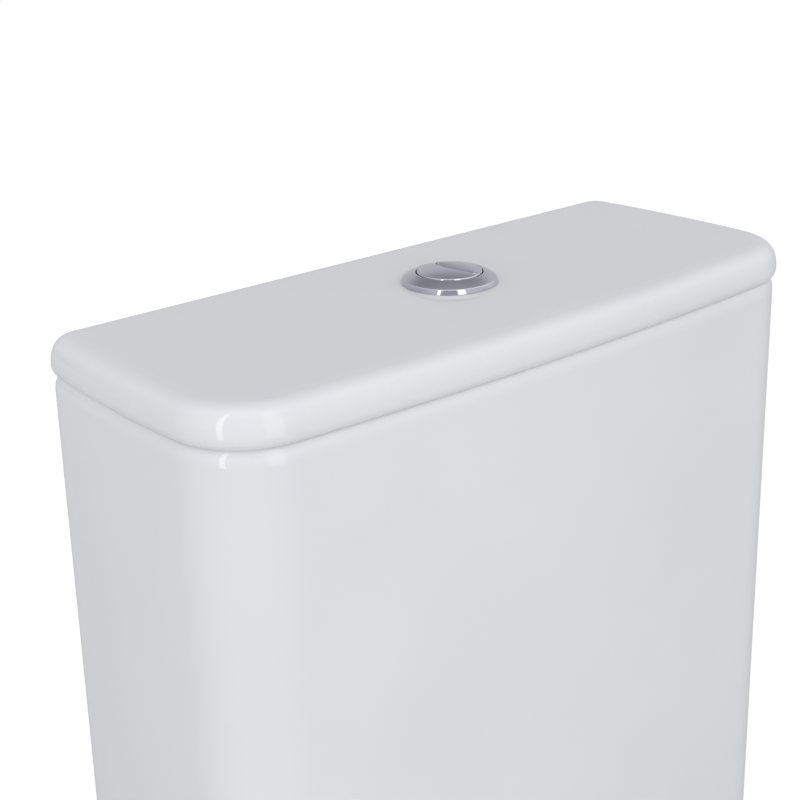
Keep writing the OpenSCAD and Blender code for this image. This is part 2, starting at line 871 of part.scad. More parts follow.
module pan_seal() {
  chamfer = pan_seal_chamfer;
  low = -backnut_h - pan_seal_h;
  profile = [
    [tail_r + run_gap, low], [pan_seal_r - chamfer, low], [pan_seal_r, low + chamfer],
    [pan_seal_r, -backnut_h], [tail_r + run_gap, -backnut_h]
  ];
  color(rubber_black) rotate_extrude() polygon(profile);
}

module valve_tower() {
  plate_low = chamber_top_z - chamber_top_t;
  plate_high = guide_low_z + guide_t;
  bridge_z = (chamber_top_z + bar_z)/2;
  color(pale_grey) difference() {
    union() {
      // Float chamber, standing on the cage and located inside its ring.
      tube(chamber_in_r, chamber_out_r, cage_top_z - cage_ring_h + cage_ring_step, chamber_top_z);
      tube(chamber_out_r - fuse, cage_ring_r, cage_top_z, cage_top_z + chamber_foot);
      tube(tube_r + chamber_tube_gap, chamber_in_r + fuse, plate_low, chamber_top_z);
      // Two upright plates that carry the levers, and the guide above them.
      for (s = [-1, 1])
        block(
          [-tower_half_l, s > 0 ? tower_plate_in : -tower_plate_out, plate_low],
          [tower_half_l, s > 0 ? tower_plate_out : -tower_plate_in, plate_high]
        );
      block([-tower_half_l, -tower_plate_out, guide_low_z], [tower_half_l, tower_plate_out, plate_high]);
      // Bridge that guides the half-flush lift rod.
      block(
        [tower_half_l - bridge_root, -tower_plate_out, bridge_z],
        [link_ear_x, tower_plate_out, bridge_z + bridge_t]
      );
      // Ear on the chamber that guides the rod's lower end.
      block(
        [chamber_in_r + fuse, -link_ear_half_w, chamber_top_z - link_ear],
        [link_ear_x, link_ear_half_w, chamber_top_z]
      );
    }
    // Water slots round the chamber.
    for (i = [0:slot_count - 1]) rotate([0, 0, 360/slot_count*(i + 0.5)])
      block(
        [chamber_in_r - cut, -slot_half_w, cage_top_z + slot_low],
        [chamber_out_r + cut, slot_half_w, chamber_top_z - slot_high]
      );
    // Windows in the plates.
    for (s = [-1, 1])
      block(
        [tower_half_l*(s/2 - window_half_w), -tower_plate_out - cut, chamber_top_z + window_low],
        [tower_half_l*(s/2 + window_half_w), tower_plate_out + cut, bridge_z - window_high]
      );
    // Bores for the lever pins, the push rods and the lift rod.
    for (s = [-1, 1]) {
      cross_bar(s*pin_x, pin_z, pin_r + run_gap, tower_plate_out + cut);
      translate([s*rod_x, 0, 0]) post(rod_r + guide_gap, guide_low_z - cut, plate_high + cut);
    }
    translate([link_x, 0, 0])
      post(link_r + link_gap, chamber_top_z - link_ear - cut, bridge_z + bridge_t + cut);
  }
}

module overflow_tube() {
  in_r = tube_r - overflow_t;
  low = seat_z - retainer_t;
  hub_z = seat_z + seal_t;
  profile = [
    [in_r, low], [tube_r, low], [tube_r, hub_z], [hub_r, hub_z], [hub_r, hub_z + hub_t],
    [tube_r, hub_z + hub_t + hub_slope], [tube_r, overflow_z], [in_r, overflow_z]
  ];
  color(natural_white) rotate_extrude() polygon(profile);
}

module flush_seal() {
  color(seal_red) tube(tube_r + run_gap, seal_r, seat_z, seat_z + seal_t);
}

module seal_retainer() {
  color(natural_white) tube(tube_r + run_gap, seat_in_r - retainer_inset, seat_z - retainer_t, seat_z);
}

module lift_head() {
  color(valve_blue) union() {
    tube(tube_r + run_gap, lift_ring_r, overflow_z - lift_ring_h, overflow_z);
    block([-wing_end_x, -wing_half_w, wing_z], [-tube_r - wing_root, wing_half_w, wing_z + wing_t]);
    // A rib that stiffens the wing beside the tube, clear of the lever's bar.
    block(
      [-bar_x + bar_r + wing_rib_gap, -wing_rib_half_t, overflow_z - lift_ring_h],
      [-tube_r - wing_root, wing_rib_half_t, wing_z + fuse]
    );
  }
}

module full_flush_float() {
  top = ring_float_low_z + ring_float_h;
  in_r = tube_r + run_gap;
  profile = [
    [in_r, ring_float_low_z], [in_r + float_skin, ring_float_low_z],
    [in_r + float_skin, top - float_skin], [ring_float_r - float_skin, top - float_skin],
    [ring_float_r - float_skin, ring_float_low_z], [ring_float_r, ring_float_low_z],
    [ring_float_r, top], [in_r, top]
  ];
  color(natural_white) rotate_extrude() polygon(profile);
}

// The half-flush float: an upturned box on the lift rod.
module half_flush_float() {
  low_x = chamber_out_r + side_float_gap;
  high_x = low_x + side_float_l;
  top = side_float_low_z + side_float_h;
  color(valve_blue) difference() {
    union() {
      difference() {
        block([low_x, -side_float_half_w, side_float_low_z], [high_x, side_float_half_w, top]);
        block(
          [low_x + float_skin, float_skin - side_float_half_w, side_float_low_z - cut],
          [high_x - float_skin, side_float_half_w - float_skin, top - float_skin]
        );
      }
      translate([link_x, 0, 0]) post(link_r + link_wall, side_float_low_z, top - fuse);
    }
    translate([link_x, 0, 0]) post(link_r + run_gap, side_float_low_z - cut, top + cut);
    // The box stays clear of the chamber's foot.
    post(cage_ring_r + move_gap, side_float_low_z - cut, cage_top_z + chamber_foot + lift_travel);
  }
}

module half_lift_rod() {
  color(natural_white) union() {
    translate([link_x, 0, 0]) post(link_r, side_float_low_z, wing_z + fuse);
    block([link_x - link_r - wing_root, -wing_half_w, wing_z], [wing_end_x, wing_half_w, wing_z + wing_t]);
  }
}

// A forked lever on the left of the tube: its pad under the push rod, its bar under the wing.
module flush_lever() {
  color(natural_white) difference() {
    union() {
      for (s = [-1, 1])
        translate([0, s > 0 ? cheek_out : -cheek_in, 0]) rotate([90, 0, 0]) linear_extrude(cheek_t)
          union() {
            hull() {
              translate([-pin_x, pin_z]) circle(r = pin_r + pin_boss, $fn = 32);
              translate([-bar_x, bar_z]) circle(r = bar_r + bar_boss, $fn = 32);
            }
            hull() {
              translate([-pin_x, pin_z]) circle(r = pin_r + pin_boss, $fn = 32);
              translate([-rod_x, pin_z + pad_rise - pad_t/2]) circle(r = pad_t/2, $fn = 32);
            }
          }
      cross_bar(-bar_x, bar_z, bar_r, cheek_in + fuse);
      block(
        [-rod_x - pad_reach, -cheek_in - fuse, pin_z + pad_rise - pad_t],
        [-rod_x + pad_reach, cheek_in + fuse, pin_z + pad_rise]
      );
    }
    cross_bar(-pin_x, pin_z, pin_r + run_gap, cheek_out + cut);
  }
}

module full_flush_lever() {
  flush_lever();
}

module half_flush_lever() {
  mirror([1, 0, 0]) flush_lever();
}

module lever_pins() {
  color(zinc_grey) for (s = [-1, 1]) cross_bar(s*pin_x, pin_z, pin_r, tower_plate_out + pin_end);
}

// Fill valve.

module fill_riser() {
  stop_z = float_low_z - move_gap - stop_h;
  relief_z = -fill_nut_h - thread_relief_gap - thread_relief;
  relief_r = inlet_r - thread_relief_depth;
  profile = [
    [inlet_bore_r, -inlet_l], [inlet_r, -inlet_l], [inlet_r, relief_z], [relief_r, relief_z],
    [relief_r, relief_z + thread_relief], [inlet_r, relief_z + thread_relief],
    [inlet_r, fill_flange_z], [fill_flange_r, fill_flange_z],
    [fill_flange_r, fill_flange_z + fill_flange_t], [riser_r, fill_flange_z + fill_flange_t],
    [riser_r, stop_z], [stop_r, stop_z], [stop_r, stop_z + stop_h], [riser_r, stop_z + stop_h],
    [riser_r, head_z + riser_seat], [inlet_bore_r, head_z + riser_seat]
  ];
  color(natural_white) translate([fill_x, 0, 0]) rotate_extrude() polygon(profile);
}

module fill_washer() {
  color(rubber_black) translate([fill_x, 0, 0])
    tube(inlet_r + run_gap, fill_flange_r, floor_t, fill_flange_z);
}

module fill_nut() {
  color(natural_white) translate([fill_x, 0, 0])
    lobed_nut(inlet_r + run_gap, inlet_r + fill_nut_t, -fill_nut_h, 0, fill_nut_lobes, fill_nut_notch);
}

module inlet_filter() {
  out_r = inlet_bore_r - run_gap;
  low = filter_inset - inlet_l;
  rim = low + filter_rim_h;
  stem = out_r - filter_rim_t;
  profile = [
    [0, low], [out_r, low], [out_r, rim], [stem, rim], [stem - filter_taper, low + filter_l],
    [0, low + filter_l]
  ];
  color(valve_blue) translate([fill_x, 0, 0]) rotate_extrude() polygon(profile);
}

module fill_head() {
  color(natural_white) translate([fill_x, 0, 0]) difference() {
    union() {
      post(head_neck_r, head_z - head_neck_h, head_z + fuse);
      post(head_r, head_z, head_top_z);
      translate([0, 0, spout_z]) rotate([-90, 0, 0]) cylinder(r = spout_r, h = spout_y);
      translate([0, spout_y, 0]) post(socket_r, spout_z - socket_drop, spout_z + socket_rise);
    }
    post(riser_r + run_gap, head_z - head_neck_h - cut, head_z + riser_seat);
    post(head_r - head_wall, head_top_z - head_well, head_top_z + cut);
    translate([0, spout_y, 0])
      post(spout_r + run_gap, spout_z - socket_drop - cut, spout_z + socket_depth);
  }
}

module fill_diaphragm() {
  color(rubber_black) translate([fill_x, 0, 0])
    post(head_r - diaphragm_inset, head_top_z, head_top_z + diaphragm_t);
}

module fill_cap() {
  low = head_top_z + diaphragm_t;
  color(valve_blue) difference() {
    union() {
      translate([fill_x, 0, 0]) {
        tube(head_r + run_gap, cap_r, cap_low_z, low + fuse);
        post(cap_r, low, cap_top_z);
      }
      for (s = [-1, 1])
        block(
          [fill_pin_x - ear_half_l, s > 0 ? ear_in : -ear_in - ear_t, cap_top_z - fuse],
          [fill_pin_x + ear_half_l, s > 0 ? ear_in + ear_t : -ear_in, fill_pin_z + ear_rise]
        );
    }
    cross_bar(fill_pin_x, fill_pin_z, fill_pin_r + run_gap, ear_in + ear_t + cut);
    translate([fill_x, 0, 0]) post(vent_r, low - cut, cap_top_z + cut);
  }
}

// The float's lever, drawn level: a bar with a nose over the cap's vent and a slim fork at its end.
module level_fill_lever() {
  bar_half_w = ear_in - move_gap;
  prong_in = float_rod_r + fork_gap;
  nose_x = fill_x - nose_place;
  fork_x = fill_pin_x + float_arm;
  difference() {
    union() {
      block(
        [nose_x - nose_end, -bar_half_w, fill_pin_z - fill_bar_half_h],
        [fork_x - fork_l, bar_half_w, fill_pin_z + fill_bar_half_h]
      );
      block(
        [fork_x - fork_l - fuse, -bar_half_w, fill_pin_z - prong_half_h],
        [fork_x, bar_half_w, fill_pin_z + prong_half_h]
      );
      cross_bar(fork_x, fill_pin_z, fork_r, bar_half_w);
      translate([nose_x, 0, 0]) post(nose_r, fill_pin_z - fill_bar_half_h - nose_l, fill_pin_z);
    }
    cross_bar(fill_pin_x, fill_pin_z, fill_pin_r + run_gap, bar_half_w + cut);
    block(
      [fork_x - collar_r - fork_r, -prong_in, fill_pin_z - fork_r - cut],
      [fork_x + fork_r + cut, prong_in, fill_pin_z + fork_r + cut]
    );
  }
}

// The float's lever, turned down to where it rests.
module fill_lever() {
  color(natural_white) translate([fill_pin_x, 0, fill_pin_z]) rotate([0, fill_swing/2, 0])
    translate([-fill_pin_x, 0, -fill_pin_z]) level_fill_lever();
}

module fill_lever_pin() {
  color(zinc_grey) cross_bar(fill_pin_x, fill_pin_z, fill_pin_r, ear_in + ear_t + pin_end);
}

module fill_float() {
  profile = [
    [float_in_r, float_low_z], [float_in_r + float_skin, float_low_z],
    [float_in_r + float_skin, float_top_z - float_top_t], [float_r - float_skin, float_top_z - float_top_t],
    [float_r - float_skin, float_low_z], [float_r, float_low_z],
    [float_r, float_top_z], [float_in_r, float_top_z]
  ];
  color(natural_white) difference() {
    union() {
      translate([fill_x, 0, 0]) rotate_extrude() polygon(profile);
      block(
        [fill_x + float_r - float_lug_root, -float_lug_r, float_top_z - float_lug_h],
        [float_rod_x, float_lug_r, float_top_z]
      );
      translate([float_rod_x, 0, 0]) post(float_lug_r, float_top_z - float_lug_h, float_top_z);
    }
    translate([float_rod_x, 0, 0])
      post(float_rod_r + run_gap, float_top_z - float_lug_h - cut, float_top_z + cut);
  }
}

module float_rod() {
  reach = fork_r + collar_gap;
  color(valve_blue) translate([float_rod_x, 0, 0]) {
    post(float_rod_r, float_top_z - float_rod_seat, fork_rest_z + reach + collar_t + float_rod_end);
    for (z = [fork_rest_z - reach - collar_t, fork_rest_z + reach])
      post(collar_r, z, z + collar_t);
  }
}

module silencer_tube() {
  color(pale_grey) translate([fill_x, spout_y, 0])
    tube(spout_bore_r, spout_r, floor_t + silencer_low, spout_z + socket_depth - silencer_gap);
}

// Bolts to the pan.

module pan_bolts() {
  head_top_z = bolt_head_z + bolt_head_h;
  color(zinc_grey) at_bolts() difference() {
    union() {
      post(bolt_r, -bolt_l, stud_top_z);
      post(shank_r, stud_top_z - fuse, bolt_head_z + fuse);
      post(bolt_head_r, bolt_head_z, head_top_z);
    }
    block(
      [-bolt_head_r - cut, -bolt_slot_half_w, head_top_z - bolt_slot_depth],
      [bolt_head_r + cut, bolt_slot_half_w, head_top_z + cut]
    );
  }
}

module bolt_seals() {
  in_r = shank_r + run_gap;
  plug_r = bolt_hole_r - bolt_plug_gap;
  plug_z = floor_t - bolt_plug_h;
  high = floor_t + bolt_seal_t;
  color(rubber_black) at_bolts() rotate_extrude() polygon([
    [in_r, plug_z], [plug_r - bolt_plug_taper, plug_z], [plug_r, floor_t], [bolt_seal_r, floor_t],
    [bolt_washer_r, high], [in_r, high]
  ]);
}

module bolt_washers() {
  high = floor_t + bolt_seal_t;
  color(zinc_grey) at_bolts() {
    tube(bolt_r + run_gap, bolt_washer_r, high, high + bolt_washer_t);
    tube(bolt_r + run_gap, bolt_washer_r, -bolt_washer_t, 0);
  }
}

module bolt_nuts() {
  across_corners_r = bolt_nut_af/2/cos(30);
  color(zinc_grey) at_bolts() difference() {
    translate([0, 0, bolt_nut_low_z]) cylinder(r = across_corners_r, h = bolt_nut_h, $fn = 6);
    post(shank_r + run_gap, bolt_nut_low_z - cut, cut);
  }
}

cistern_tank();
cistern_lid();
button_bezel();
button_sleeve();
sleeve_washer();
sleeve_nut();
full_flush_button();
half_flush_button();
full_flush_spring();
half_flush_spring();
full_flush_rod();
half_flush_rod();
valve_base();
valve_washer();
valve_backnut();
pan_seal();
valve_tower();
overflow_tube();
flush_seal();
seal_retainer();
lift_head();
full_flush_float();
half_flush_float();
half_lift_rod();
full_flush_lever();
half_flush_lever();
lever_pins();
fill_riser();
fill_washer();
fill_nut();
inlet_filter();
fill_head();
fill_diaphragm();
fill_cap();
fill_lever();
fill_lever_pin();
fill_float();
float_rod();
silencer_tube();
pan_bolts();
bolt_seals();
bolt_washers();
bolt_nuts();
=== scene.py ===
"""Dresses a close-coupled toilet cistern: glazed tank and lid, chrome push button, valves and bolts."""

import logging
import math
from dataclasses import dataclass, field, replace
from enum import Enum
from typing import Any, Callable, Dict, List, Optional, Sequence, Tuple

import bmesh
import bpy
from mathutils import Matrix, Vector


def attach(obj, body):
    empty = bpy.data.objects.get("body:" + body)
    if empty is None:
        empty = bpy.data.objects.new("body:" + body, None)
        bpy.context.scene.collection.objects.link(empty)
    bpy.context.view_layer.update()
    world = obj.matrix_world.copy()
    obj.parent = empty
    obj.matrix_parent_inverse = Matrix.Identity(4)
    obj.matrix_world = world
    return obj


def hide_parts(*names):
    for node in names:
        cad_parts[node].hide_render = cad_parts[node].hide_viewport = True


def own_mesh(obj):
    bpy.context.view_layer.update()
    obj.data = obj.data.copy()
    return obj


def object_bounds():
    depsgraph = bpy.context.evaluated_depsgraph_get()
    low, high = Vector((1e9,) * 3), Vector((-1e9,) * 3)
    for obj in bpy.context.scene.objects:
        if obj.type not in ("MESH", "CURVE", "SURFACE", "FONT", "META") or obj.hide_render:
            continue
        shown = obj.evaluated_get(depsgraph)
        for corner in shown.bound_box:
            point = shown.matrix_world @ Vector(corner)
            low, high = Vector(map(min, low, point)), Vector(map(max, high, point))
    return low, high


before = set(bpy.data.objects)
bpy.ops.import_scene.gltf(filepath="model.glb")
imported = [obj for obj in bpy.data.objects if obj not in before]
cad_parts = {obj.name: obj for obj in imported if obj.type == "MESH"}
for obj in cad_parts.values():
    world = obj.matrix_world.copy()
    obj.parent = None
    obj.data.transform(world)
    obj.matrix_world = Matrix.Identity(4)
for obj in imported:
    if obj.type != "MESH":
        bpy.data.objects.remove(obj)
CAD_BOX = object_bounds()
LOG = logging.getLogger("cistern")
MM = 0.001

# In millimetres: a difference too small to see, and how far a cutting tool reaches past what it cuts.
HAIR = 0.01
CLEAR = 5.0

Point = Tuple[float, float]
Triple = Tuple[float, float, float]
Colour = Tuple[float, float, float, float]
Piece = bpy.types.Object
Tree = bpy.types.NodeTree
Socket = bpy.types.NodeSocket


# Finishes.

def linear(code: str) -> Colour:
    """Turns an sRGB hex value into linear light.

    Args:
        code: Six hex digits after a hash.

    Returns:
        Red, green, blue and full alpha.
    """
    parts = [int(code[i:i + 2], 16) / 255 for i in (1, 3, 5)]
    light = [p / 12.92 if p <= 0.04045 else ((p + 0.055) / 1.055) ** 2.4 for p in parts]
    return light[0], light[1], light[2], 1.0


def add_node(tree: Tree, kind: str, values: Optional[Dict[Any, Any]] = None,
             links: Optional[Dict[Any, Socket]] = None, **settings: Any) -> bpy.types.Node:
    """Adds a node with its settings and links.

    Args:
        tree: The tree that takes the node.
        kind: The node's type.
        values: Input socket to constant.
        links: Input socket to the output that feeds it.
        settings: Attributes of the node itself.

    Returns:
        The new node.
    """
    node = tree.nodes.new(kind)
    for key, value in settings.items():
        setattr(node, key, value)
    for key, value in (values or {}).items():
        node.inputs[key].default_value = value
    for key, source in (links or {}).items():
        tree.links.new(source, node.inputs[key])
    return node


def bare_tree(owner: bpy.types.ID) -> Tree:
    """Gives the emptied nodes of a new material or world.

    Args:
        owner: The material or world.

    Returns:
        Its node tree.
    """
    owner.use_nodes = True
    owner.node_tree.nodes.clear()
    return owner.node_tree


def per_metre(size_mm: float) -> float:
    """Gives the texture scale at which a feature is size_mm across."""
    return 1 / (size_mm * MM)


@dataclass(frozen=True)
class Clouds:
    """Patches of a real size, and the stretch of their noise that runs from none to full."""

    size_mm: float
    detail: float = 2.0
    start: float = 0.3
    end: float = 0.7

    def draw(self, tree: Tree, place: Socket, low: float, high: float) -> Socket:
        """Draws the patches as a value that runs from low to high.

        Args:
            tree: The material's nodes.
            place: The coordinates that the patches lie in.
            low: The value outside the patches.
            high: The value inside them.

        Returns:
            The value.
        """
        noise = add_node(tree, "ShaderNodeTexNoise",
                         {"Scale": per_metre(self.size_mm), "Detail": self.detail}, {"Vector": place})
        spread = add_node(tree, "ShaderNodeMapRange",
                          {"From Min": self.start, "From Max": self.end, "To Min": low, "To Max": high},
                          {"Value": noise.outputs["Fac"]})
        return spread.outputs["Result"]


@dataclass(frozen=True)
class Relief:
    """Bumps of a real size and depth."""

    size_mm: float
    depth_mm: float
    strength: float
    detail: float = 1.0

    def lay(self, tree: Tree, place: Socket, below: Dict[str, Socket]) -> Dict[str, Socket]:
        """Lays the bumps over those that are there.

        Args:
            tree: The material's nodes.
            place: The coordinates that the bumps lie in.
            below: The normal of the relief below, if there is one.

        Returns:
            The normal of both.
        """
        noise = add_node(tree, "ShaderNodeTexNoise",
                         {"Scale": per_metre(self.size_mm), "Detail": self.detail}, {"Vector": place})
        bump = add_node(tree, "ShaderNodeBump", {"Distance": self.depth_mm * MM, "Strength": self.strength},
                        {"Height": noise.outputs["Fac"], **below})
        return {"Normal": bump.outputs["Normal"]}


@dataclass(frozen=True)
class Finish:
    """A material of the real object, with the record's slot that it belongs to.

    Tone clouds mix its colour with a shade, gloss clouds change its roughness between two steps, and its
    reliefs lie one over the other.
    """

    title: str
    slot: str
    colour: str
    roughness: float
    shade: str = "#FFFFFF"
    metallic: float = 0.0
    ior: Optional[float] = None
    tone: Optional[Clouds] = None
    gloss: Optional[Clouds] = None
    gloss_steps: Tuple[float, float] = (0.0, 0.0)
    reliefs: Sequence[Relief] = ()

    def material(self) -> bpy.types.Material:
        """Gives the material, made at its first use."""
        return bpy.data.materials.get(self.title) or self.make()

    def make(self) -> bpy.types.Material:
        """Makes the material with its clouds and reliefs.

        Returns:
            The new material.
        """
        material = bpy.data.materials.new(self.title)
        tree = bare_tree(material)
        place = add_node(tree, "ShaderNodeTexCoord").outputs["Object"]
        body = {"Base Color": linear(self.colour), "Roughness": self.roughness, "Metallic": self.metallic}
        if self.ior is not None:
            body["IOR"] = self.ior
        links: Dict[str, Socket] = {}
        for relief in self.reliefs:
            links = relief.lay(tree, place, links)
        if self.tone:
            # The mix node's sockets 6, 7 and 2 are the ones for colours.
            mix = add_node(tree, "ShaderNodeMix", {6: linear(self.colour), 7: linear(self.shade)},
                           {0: self.tone.draw(tree, place, 0.0, 1.0)}, data_type="RGBA")
            links["Base Color"] = mix.outputs[2]
        if self.gloss:
            smooth, dull = (self.roughness + step for step in self.gloss_steps)
            links["Roughness"] = self.gloss.draw(tree, place, smooth, dull)
        shader = add_node(tree, "ShaderNodeBsdfPrincipled", body, links)
        add_node(tree, "ShaderNodeOutputMaterial", links={"Surface": shader.outputs["BSDF"]})
        return material


# Vitreous china, slip cast and fired under a thick clear glaze. The eye gets a cool white body, mirror-sharp
# but weak reflections that waver over a hand's width, and a faint orange peel.
CHINA = Finish("glazed vitreous china", "china", "#E8E9EB", 0.022, shade="#E4E5E8", ior=1.51,
               tone=Clouds(112.0), gloss=Clouds(17.5), gloss_steps=(0.0, 0.02),
               reliefs=(Relief(70.0, 0.3, 0.25), Relief(2.5, 0.02, 0.15, detail=0.0)))

# Bright chrome on moulded ABS. The eye gets a mirror with a cool tone, softened a little by wiping marks and
# by the plastic's faint waves.
CHROME = Finish("chrome plate on ABS", "chrome", "#C9CCD6", 0.05, metallic=1.0,
                gloss=Clouds(9.0, 4.0, 0.4, 0.75), gloss_steps=(0.0, 0.07),
                reliefs=(Relief(14.0, 0.03, 0.3),))

# Polypropylene or acetal from a spark-eroded mould. The eye gets an even colour with soft flow clouds, a
# satin sheen and a fine grain, which is drawn coarser than life so that it shows.
WHITE = Finish("moulded natural polypropylene", "white_plastic", "#E6E5DF", 0.38, shade="#D9D8D1", ior=1.49,
               tone=Clouds(22.0), gloss=Clouds(0.7, 1.0), gloss_steps=(-0.05, 0.08),
               reliefs=(Relief(0.7, 0.03, 0.25),))
GREY = replace(WHITE, title="moulded grey polypropylene", slot="grey_plastic", colour="#B2B6BB",
               roughness=0.4, shade="#A4A8AE")
BLUE = replace(WHITE, title="moulded blue acetal", slot="blue_plastic", colour="#3C74A6", roughness=0.33,
               shade="#33699A")

# Compression-moulded rubber or silicone. The eye gets a dull skin with a bloom of paler powder and a fine
# pebble.
RUBBER = Finish("moulded black rubber", "black_rubber", "#262628", 0.62, shade="#3A3A3D", ior=1.52,
                tone=Clouds(12.0, 5.0, 0.45, 0.8), reliefs=(Relief(1.2, 0.06, 0.4),))
SILICONE = replace(RUBBER, title="moulded red silicone", slot="red_rubber", colour="#A5473D", roughness=0.55,
                   shade="#B4574C")

# Stainless wire and pins, drawn through a die. The eye gets a grey metal with a soft sheen that varies in
# small patches.
STEEL = Finish("drawn stainless steel", "steel", "#B4B5B7", 0.3, metallic=1.0, gloss=Clouds(1.6, 3.0),
               gloss_steps=(-0.08, 0.14), reliefs=(Relief(1.6, 0.01, 0.3, detail=3.0),))

# Steel bolts and washers, barrel plated with zinc. The eye gets a pale blue-grey metal with duller patches
# where the barrel rubbed it.
ZINC = Finish("barrel-plated zinc", "zinc", "#BDBFC2", 0.36, shade="#94969A", metallic=1.0,
              tone=Clouds(5.0, 4.0, 0.4), gloss=Clouds(5.0, 4.0), gloss_steps=(-0.1, 0.15))


# Work in edit mode.

class Bench:
    """The moves that the pieces are modelled with."""

    @staticmethod
    def clear() -> None:
        """Leaves edit mode and deselects every object."""
        if bpy.context.mode != "OBJECT":
            bpy.ops.object.mode_set(mode="OBJECT")
        bpy.ops.object.select_all(action="DESELECT")

    @classmethod
    def take(cls, piece: Piece) -> None:
        """Makes one piece the only one selected, and active.

        Args:
            piece: The piece.
        """
        cls.clear()
        piece.select_set(True)
        bpy.context.view_layer.objects.active = piece

    @staticmethod
    def settle(rotation: bool = False, scale: bool = False) -> None:
        """Puts the selected piece's place into its mesh, and its turn or scale where asked."""
        bpy.ops.object.transform_apply(location=True, rotation=rotation, scale=scale)

    @classmethod
    def chain(cls, name: str, points: Sequence[Vector]) -> Piece:
        """Draws a chain of edges, by extruding a single point, and leaves it selected in edit mode.

        Args:
            name: The piece's name.
            points: The chain's points in metres.

        Returns:
            The new piece.
        """
        cls.clear()
        bpy.ops.mesh.primitive_plane_add(size=MM, location=points[0])
        piece = bpy.context.object
        piece.name = name
        cls.settle()
        bpy.ops.object.mode_set(mode="EDIT")
        bpy.ops.mesh.select_mode(type="VERT")
        bpy.ops.mesh.select_all(action="SELECT")
        bpy.ops.mesh.merge(type="CENTER")
        for here, there in zip(points, points[1:]):
            bpy.ops.mesh.extrude_vertices_move(TRANSFORM_OT_translate={"value": there - here})
        bpy.ops.mesh.select_all(action="SELECT")
        return piece

    @staticmethod
    def spin(centre: Point, degrees: float, steps: int) -> None:
        """Spins what is selected anticlockwise about an upright axis, centre in millimetres."""
        bpy.ops.mesh.spin(steps=steps, angle=-math.radians(degrees), axis=(0, 0, 1),
                          center=(centre[0] * MM, centre[1] * MM, 0))

    @staticmethod
    def cap(piece: Piece, test: Callable[[Vector], bool]) -> None:
        """Closes the open loop whose points pass a test with one face.

        Args:
            piece: The piece in edit mode.
            test: Takes a point in metres.
        """
        bpy.ops.mesh.select_mode(type="EDGE")
        bpy.ops.mesh.select_all(action="DESELECT")
        mesh = bmesh.from_edit_mesh(piece.data)
        for edge in mesh.edges:
            if edge.is_boundary:
                edge.select_set(all(test(v.co) for v in edge.verts))
        bmesh.update_edit_mesh(piece.data)
        bpy.ops.mesh.edge_face_add()

    @staticmethod
    def pick_faces(piece: Piece, test: Callable[[bmesh.types.BMFace], bool]) -> None:
        """Selects the faces that pass a test, once all of them point outwards.

        Args:
            piece: The piece in edit mode.
            test: Takes a face.
        """
        bpy.ops.mesh.select_mode(type="FACE")
        bpy.ops.mesh.select_all(action="SELECT")
        bpy.ops.mesh.normals_make_consistent(inside=False)
        bpy.ops.mesh.select_all(action="DESELECT")
        mesh = bmesh.from_edit_mesh(piece.data)
        for face in mesh.faces:
            face.select_set(test(face))
        bmesh.update_edit_mesh(piece.data)

    @staticmethod
    def shape(piece: Piece, place: Callable[[Vector], Vector]) -> None:
        """Moves each selected point to the place given for it.

        Args:
            piece: The piece in edit mode.
            place: Takes a point and gives its new place, both in metres.
        """
        mesh = bmesh.from_edit_mesh(piece.data)
        for point in mesh.verts:
            if point.select:
                point.co = place(point.co.copy())
        bmesh.update_edit_mesh(piece.data)

    @classmethod
    def close(cls, piece: Piece, smooth: float = 35.0) -> Piece:
        """Merges doubles, turns the faces outwards and shades the piece smooth.

        Args:
            piece: The piece.
            smooth: The angle in degrees below which edges are shaded smooth.

        Returns:
            The same piece.
        """
        cls.take(piece)
        bpy.ops.object.mode_set(mode="EDIT")
        bpy.ops.mesh.select_all(action="SELECT")
        bpy.ops.mesh.remove_doubles(threshold=3e-6)
        bpy.ops.mesh.normals_make_consistent(inside=False)
        bpy.ops.object.mode_set(mode="OBJECT")
        bpy.ops.object.shade_smooth_by_angle(angle=math.radians(smooth))
        return piece

    @classmethod
    def apply(cls, piece: Piece, kind: str, **settings: Any) -> None:
        """Adds a modifier and applies it.

        Args:
            piece: The piece.
            kind: The modifier's type.
            settings: Attributes of the modifier.
        """
        cls.take(piece)
        modifier = piece.modifiers.new(kind.lower(), kind)
        for key, value in settings.items():
            setattr(modifier, key, value)
        bpy.ops.object.modifier_apply(modifier=modifier.name)

    @classmethod
    def cut(cls, piece: Piece, tool: Piece) -> None:
        """Cuts a piece with a tool and removes the tool."""
        cls.apply(piece, "BOOLEAN", object=tool, operation="DIFFERENCE", solver="EXACT")
        bpy.data.objects.remove(tool)

    @classmethod
    def even(cls, piece: Piece) -> None:
        """Closes a piece and lets its large faces set the shading next to them."""
        cls.apply(cls.close(piece), "WEIGHTED_NORMAL", weight=60, keep_sharp=True)

    @classmethod
    def wind(cls, piece: Piece, rise: float, turns: int, steps: int) -> None:
        """Winds a section about the upright axis, rise millimetres a turn, and opens it for edits."""
        cls.apply(piece, "SCREW", angle=math.tau, screw_offset=rise * MM, iterations=turns, steps=steps,
                  render_steps=steps, use_smooth_shade=True)
        bpy.ops.object.mode_set(mode="EDIT")

    @classmethod
    def lathe(cls, name: str, profile: Sequence[Point], at: Point = (0.0, 0.0), steps: int = 96,
              smooth: float = 35.0) -> Piece:
        """Turns a closed profile about an upright axis.

        Args:
            name: The piece's name.
            profile: Radius and height of each point in millimetres.
            at: Where the axis stands, in millimetres.
            steps: Steps round the axis.
            smooth: The angle in degrees below which edges are shaded smooth.

        Returns:
            The turned piece.
        """
        points = [Vector((at[0] + r, at[1], z)) * MM for r, z in profile]
        piece = cls.chain(name, points + points[:1])
        cls.spin(at, 360, steps)
        return cls.close(piece, smooth)

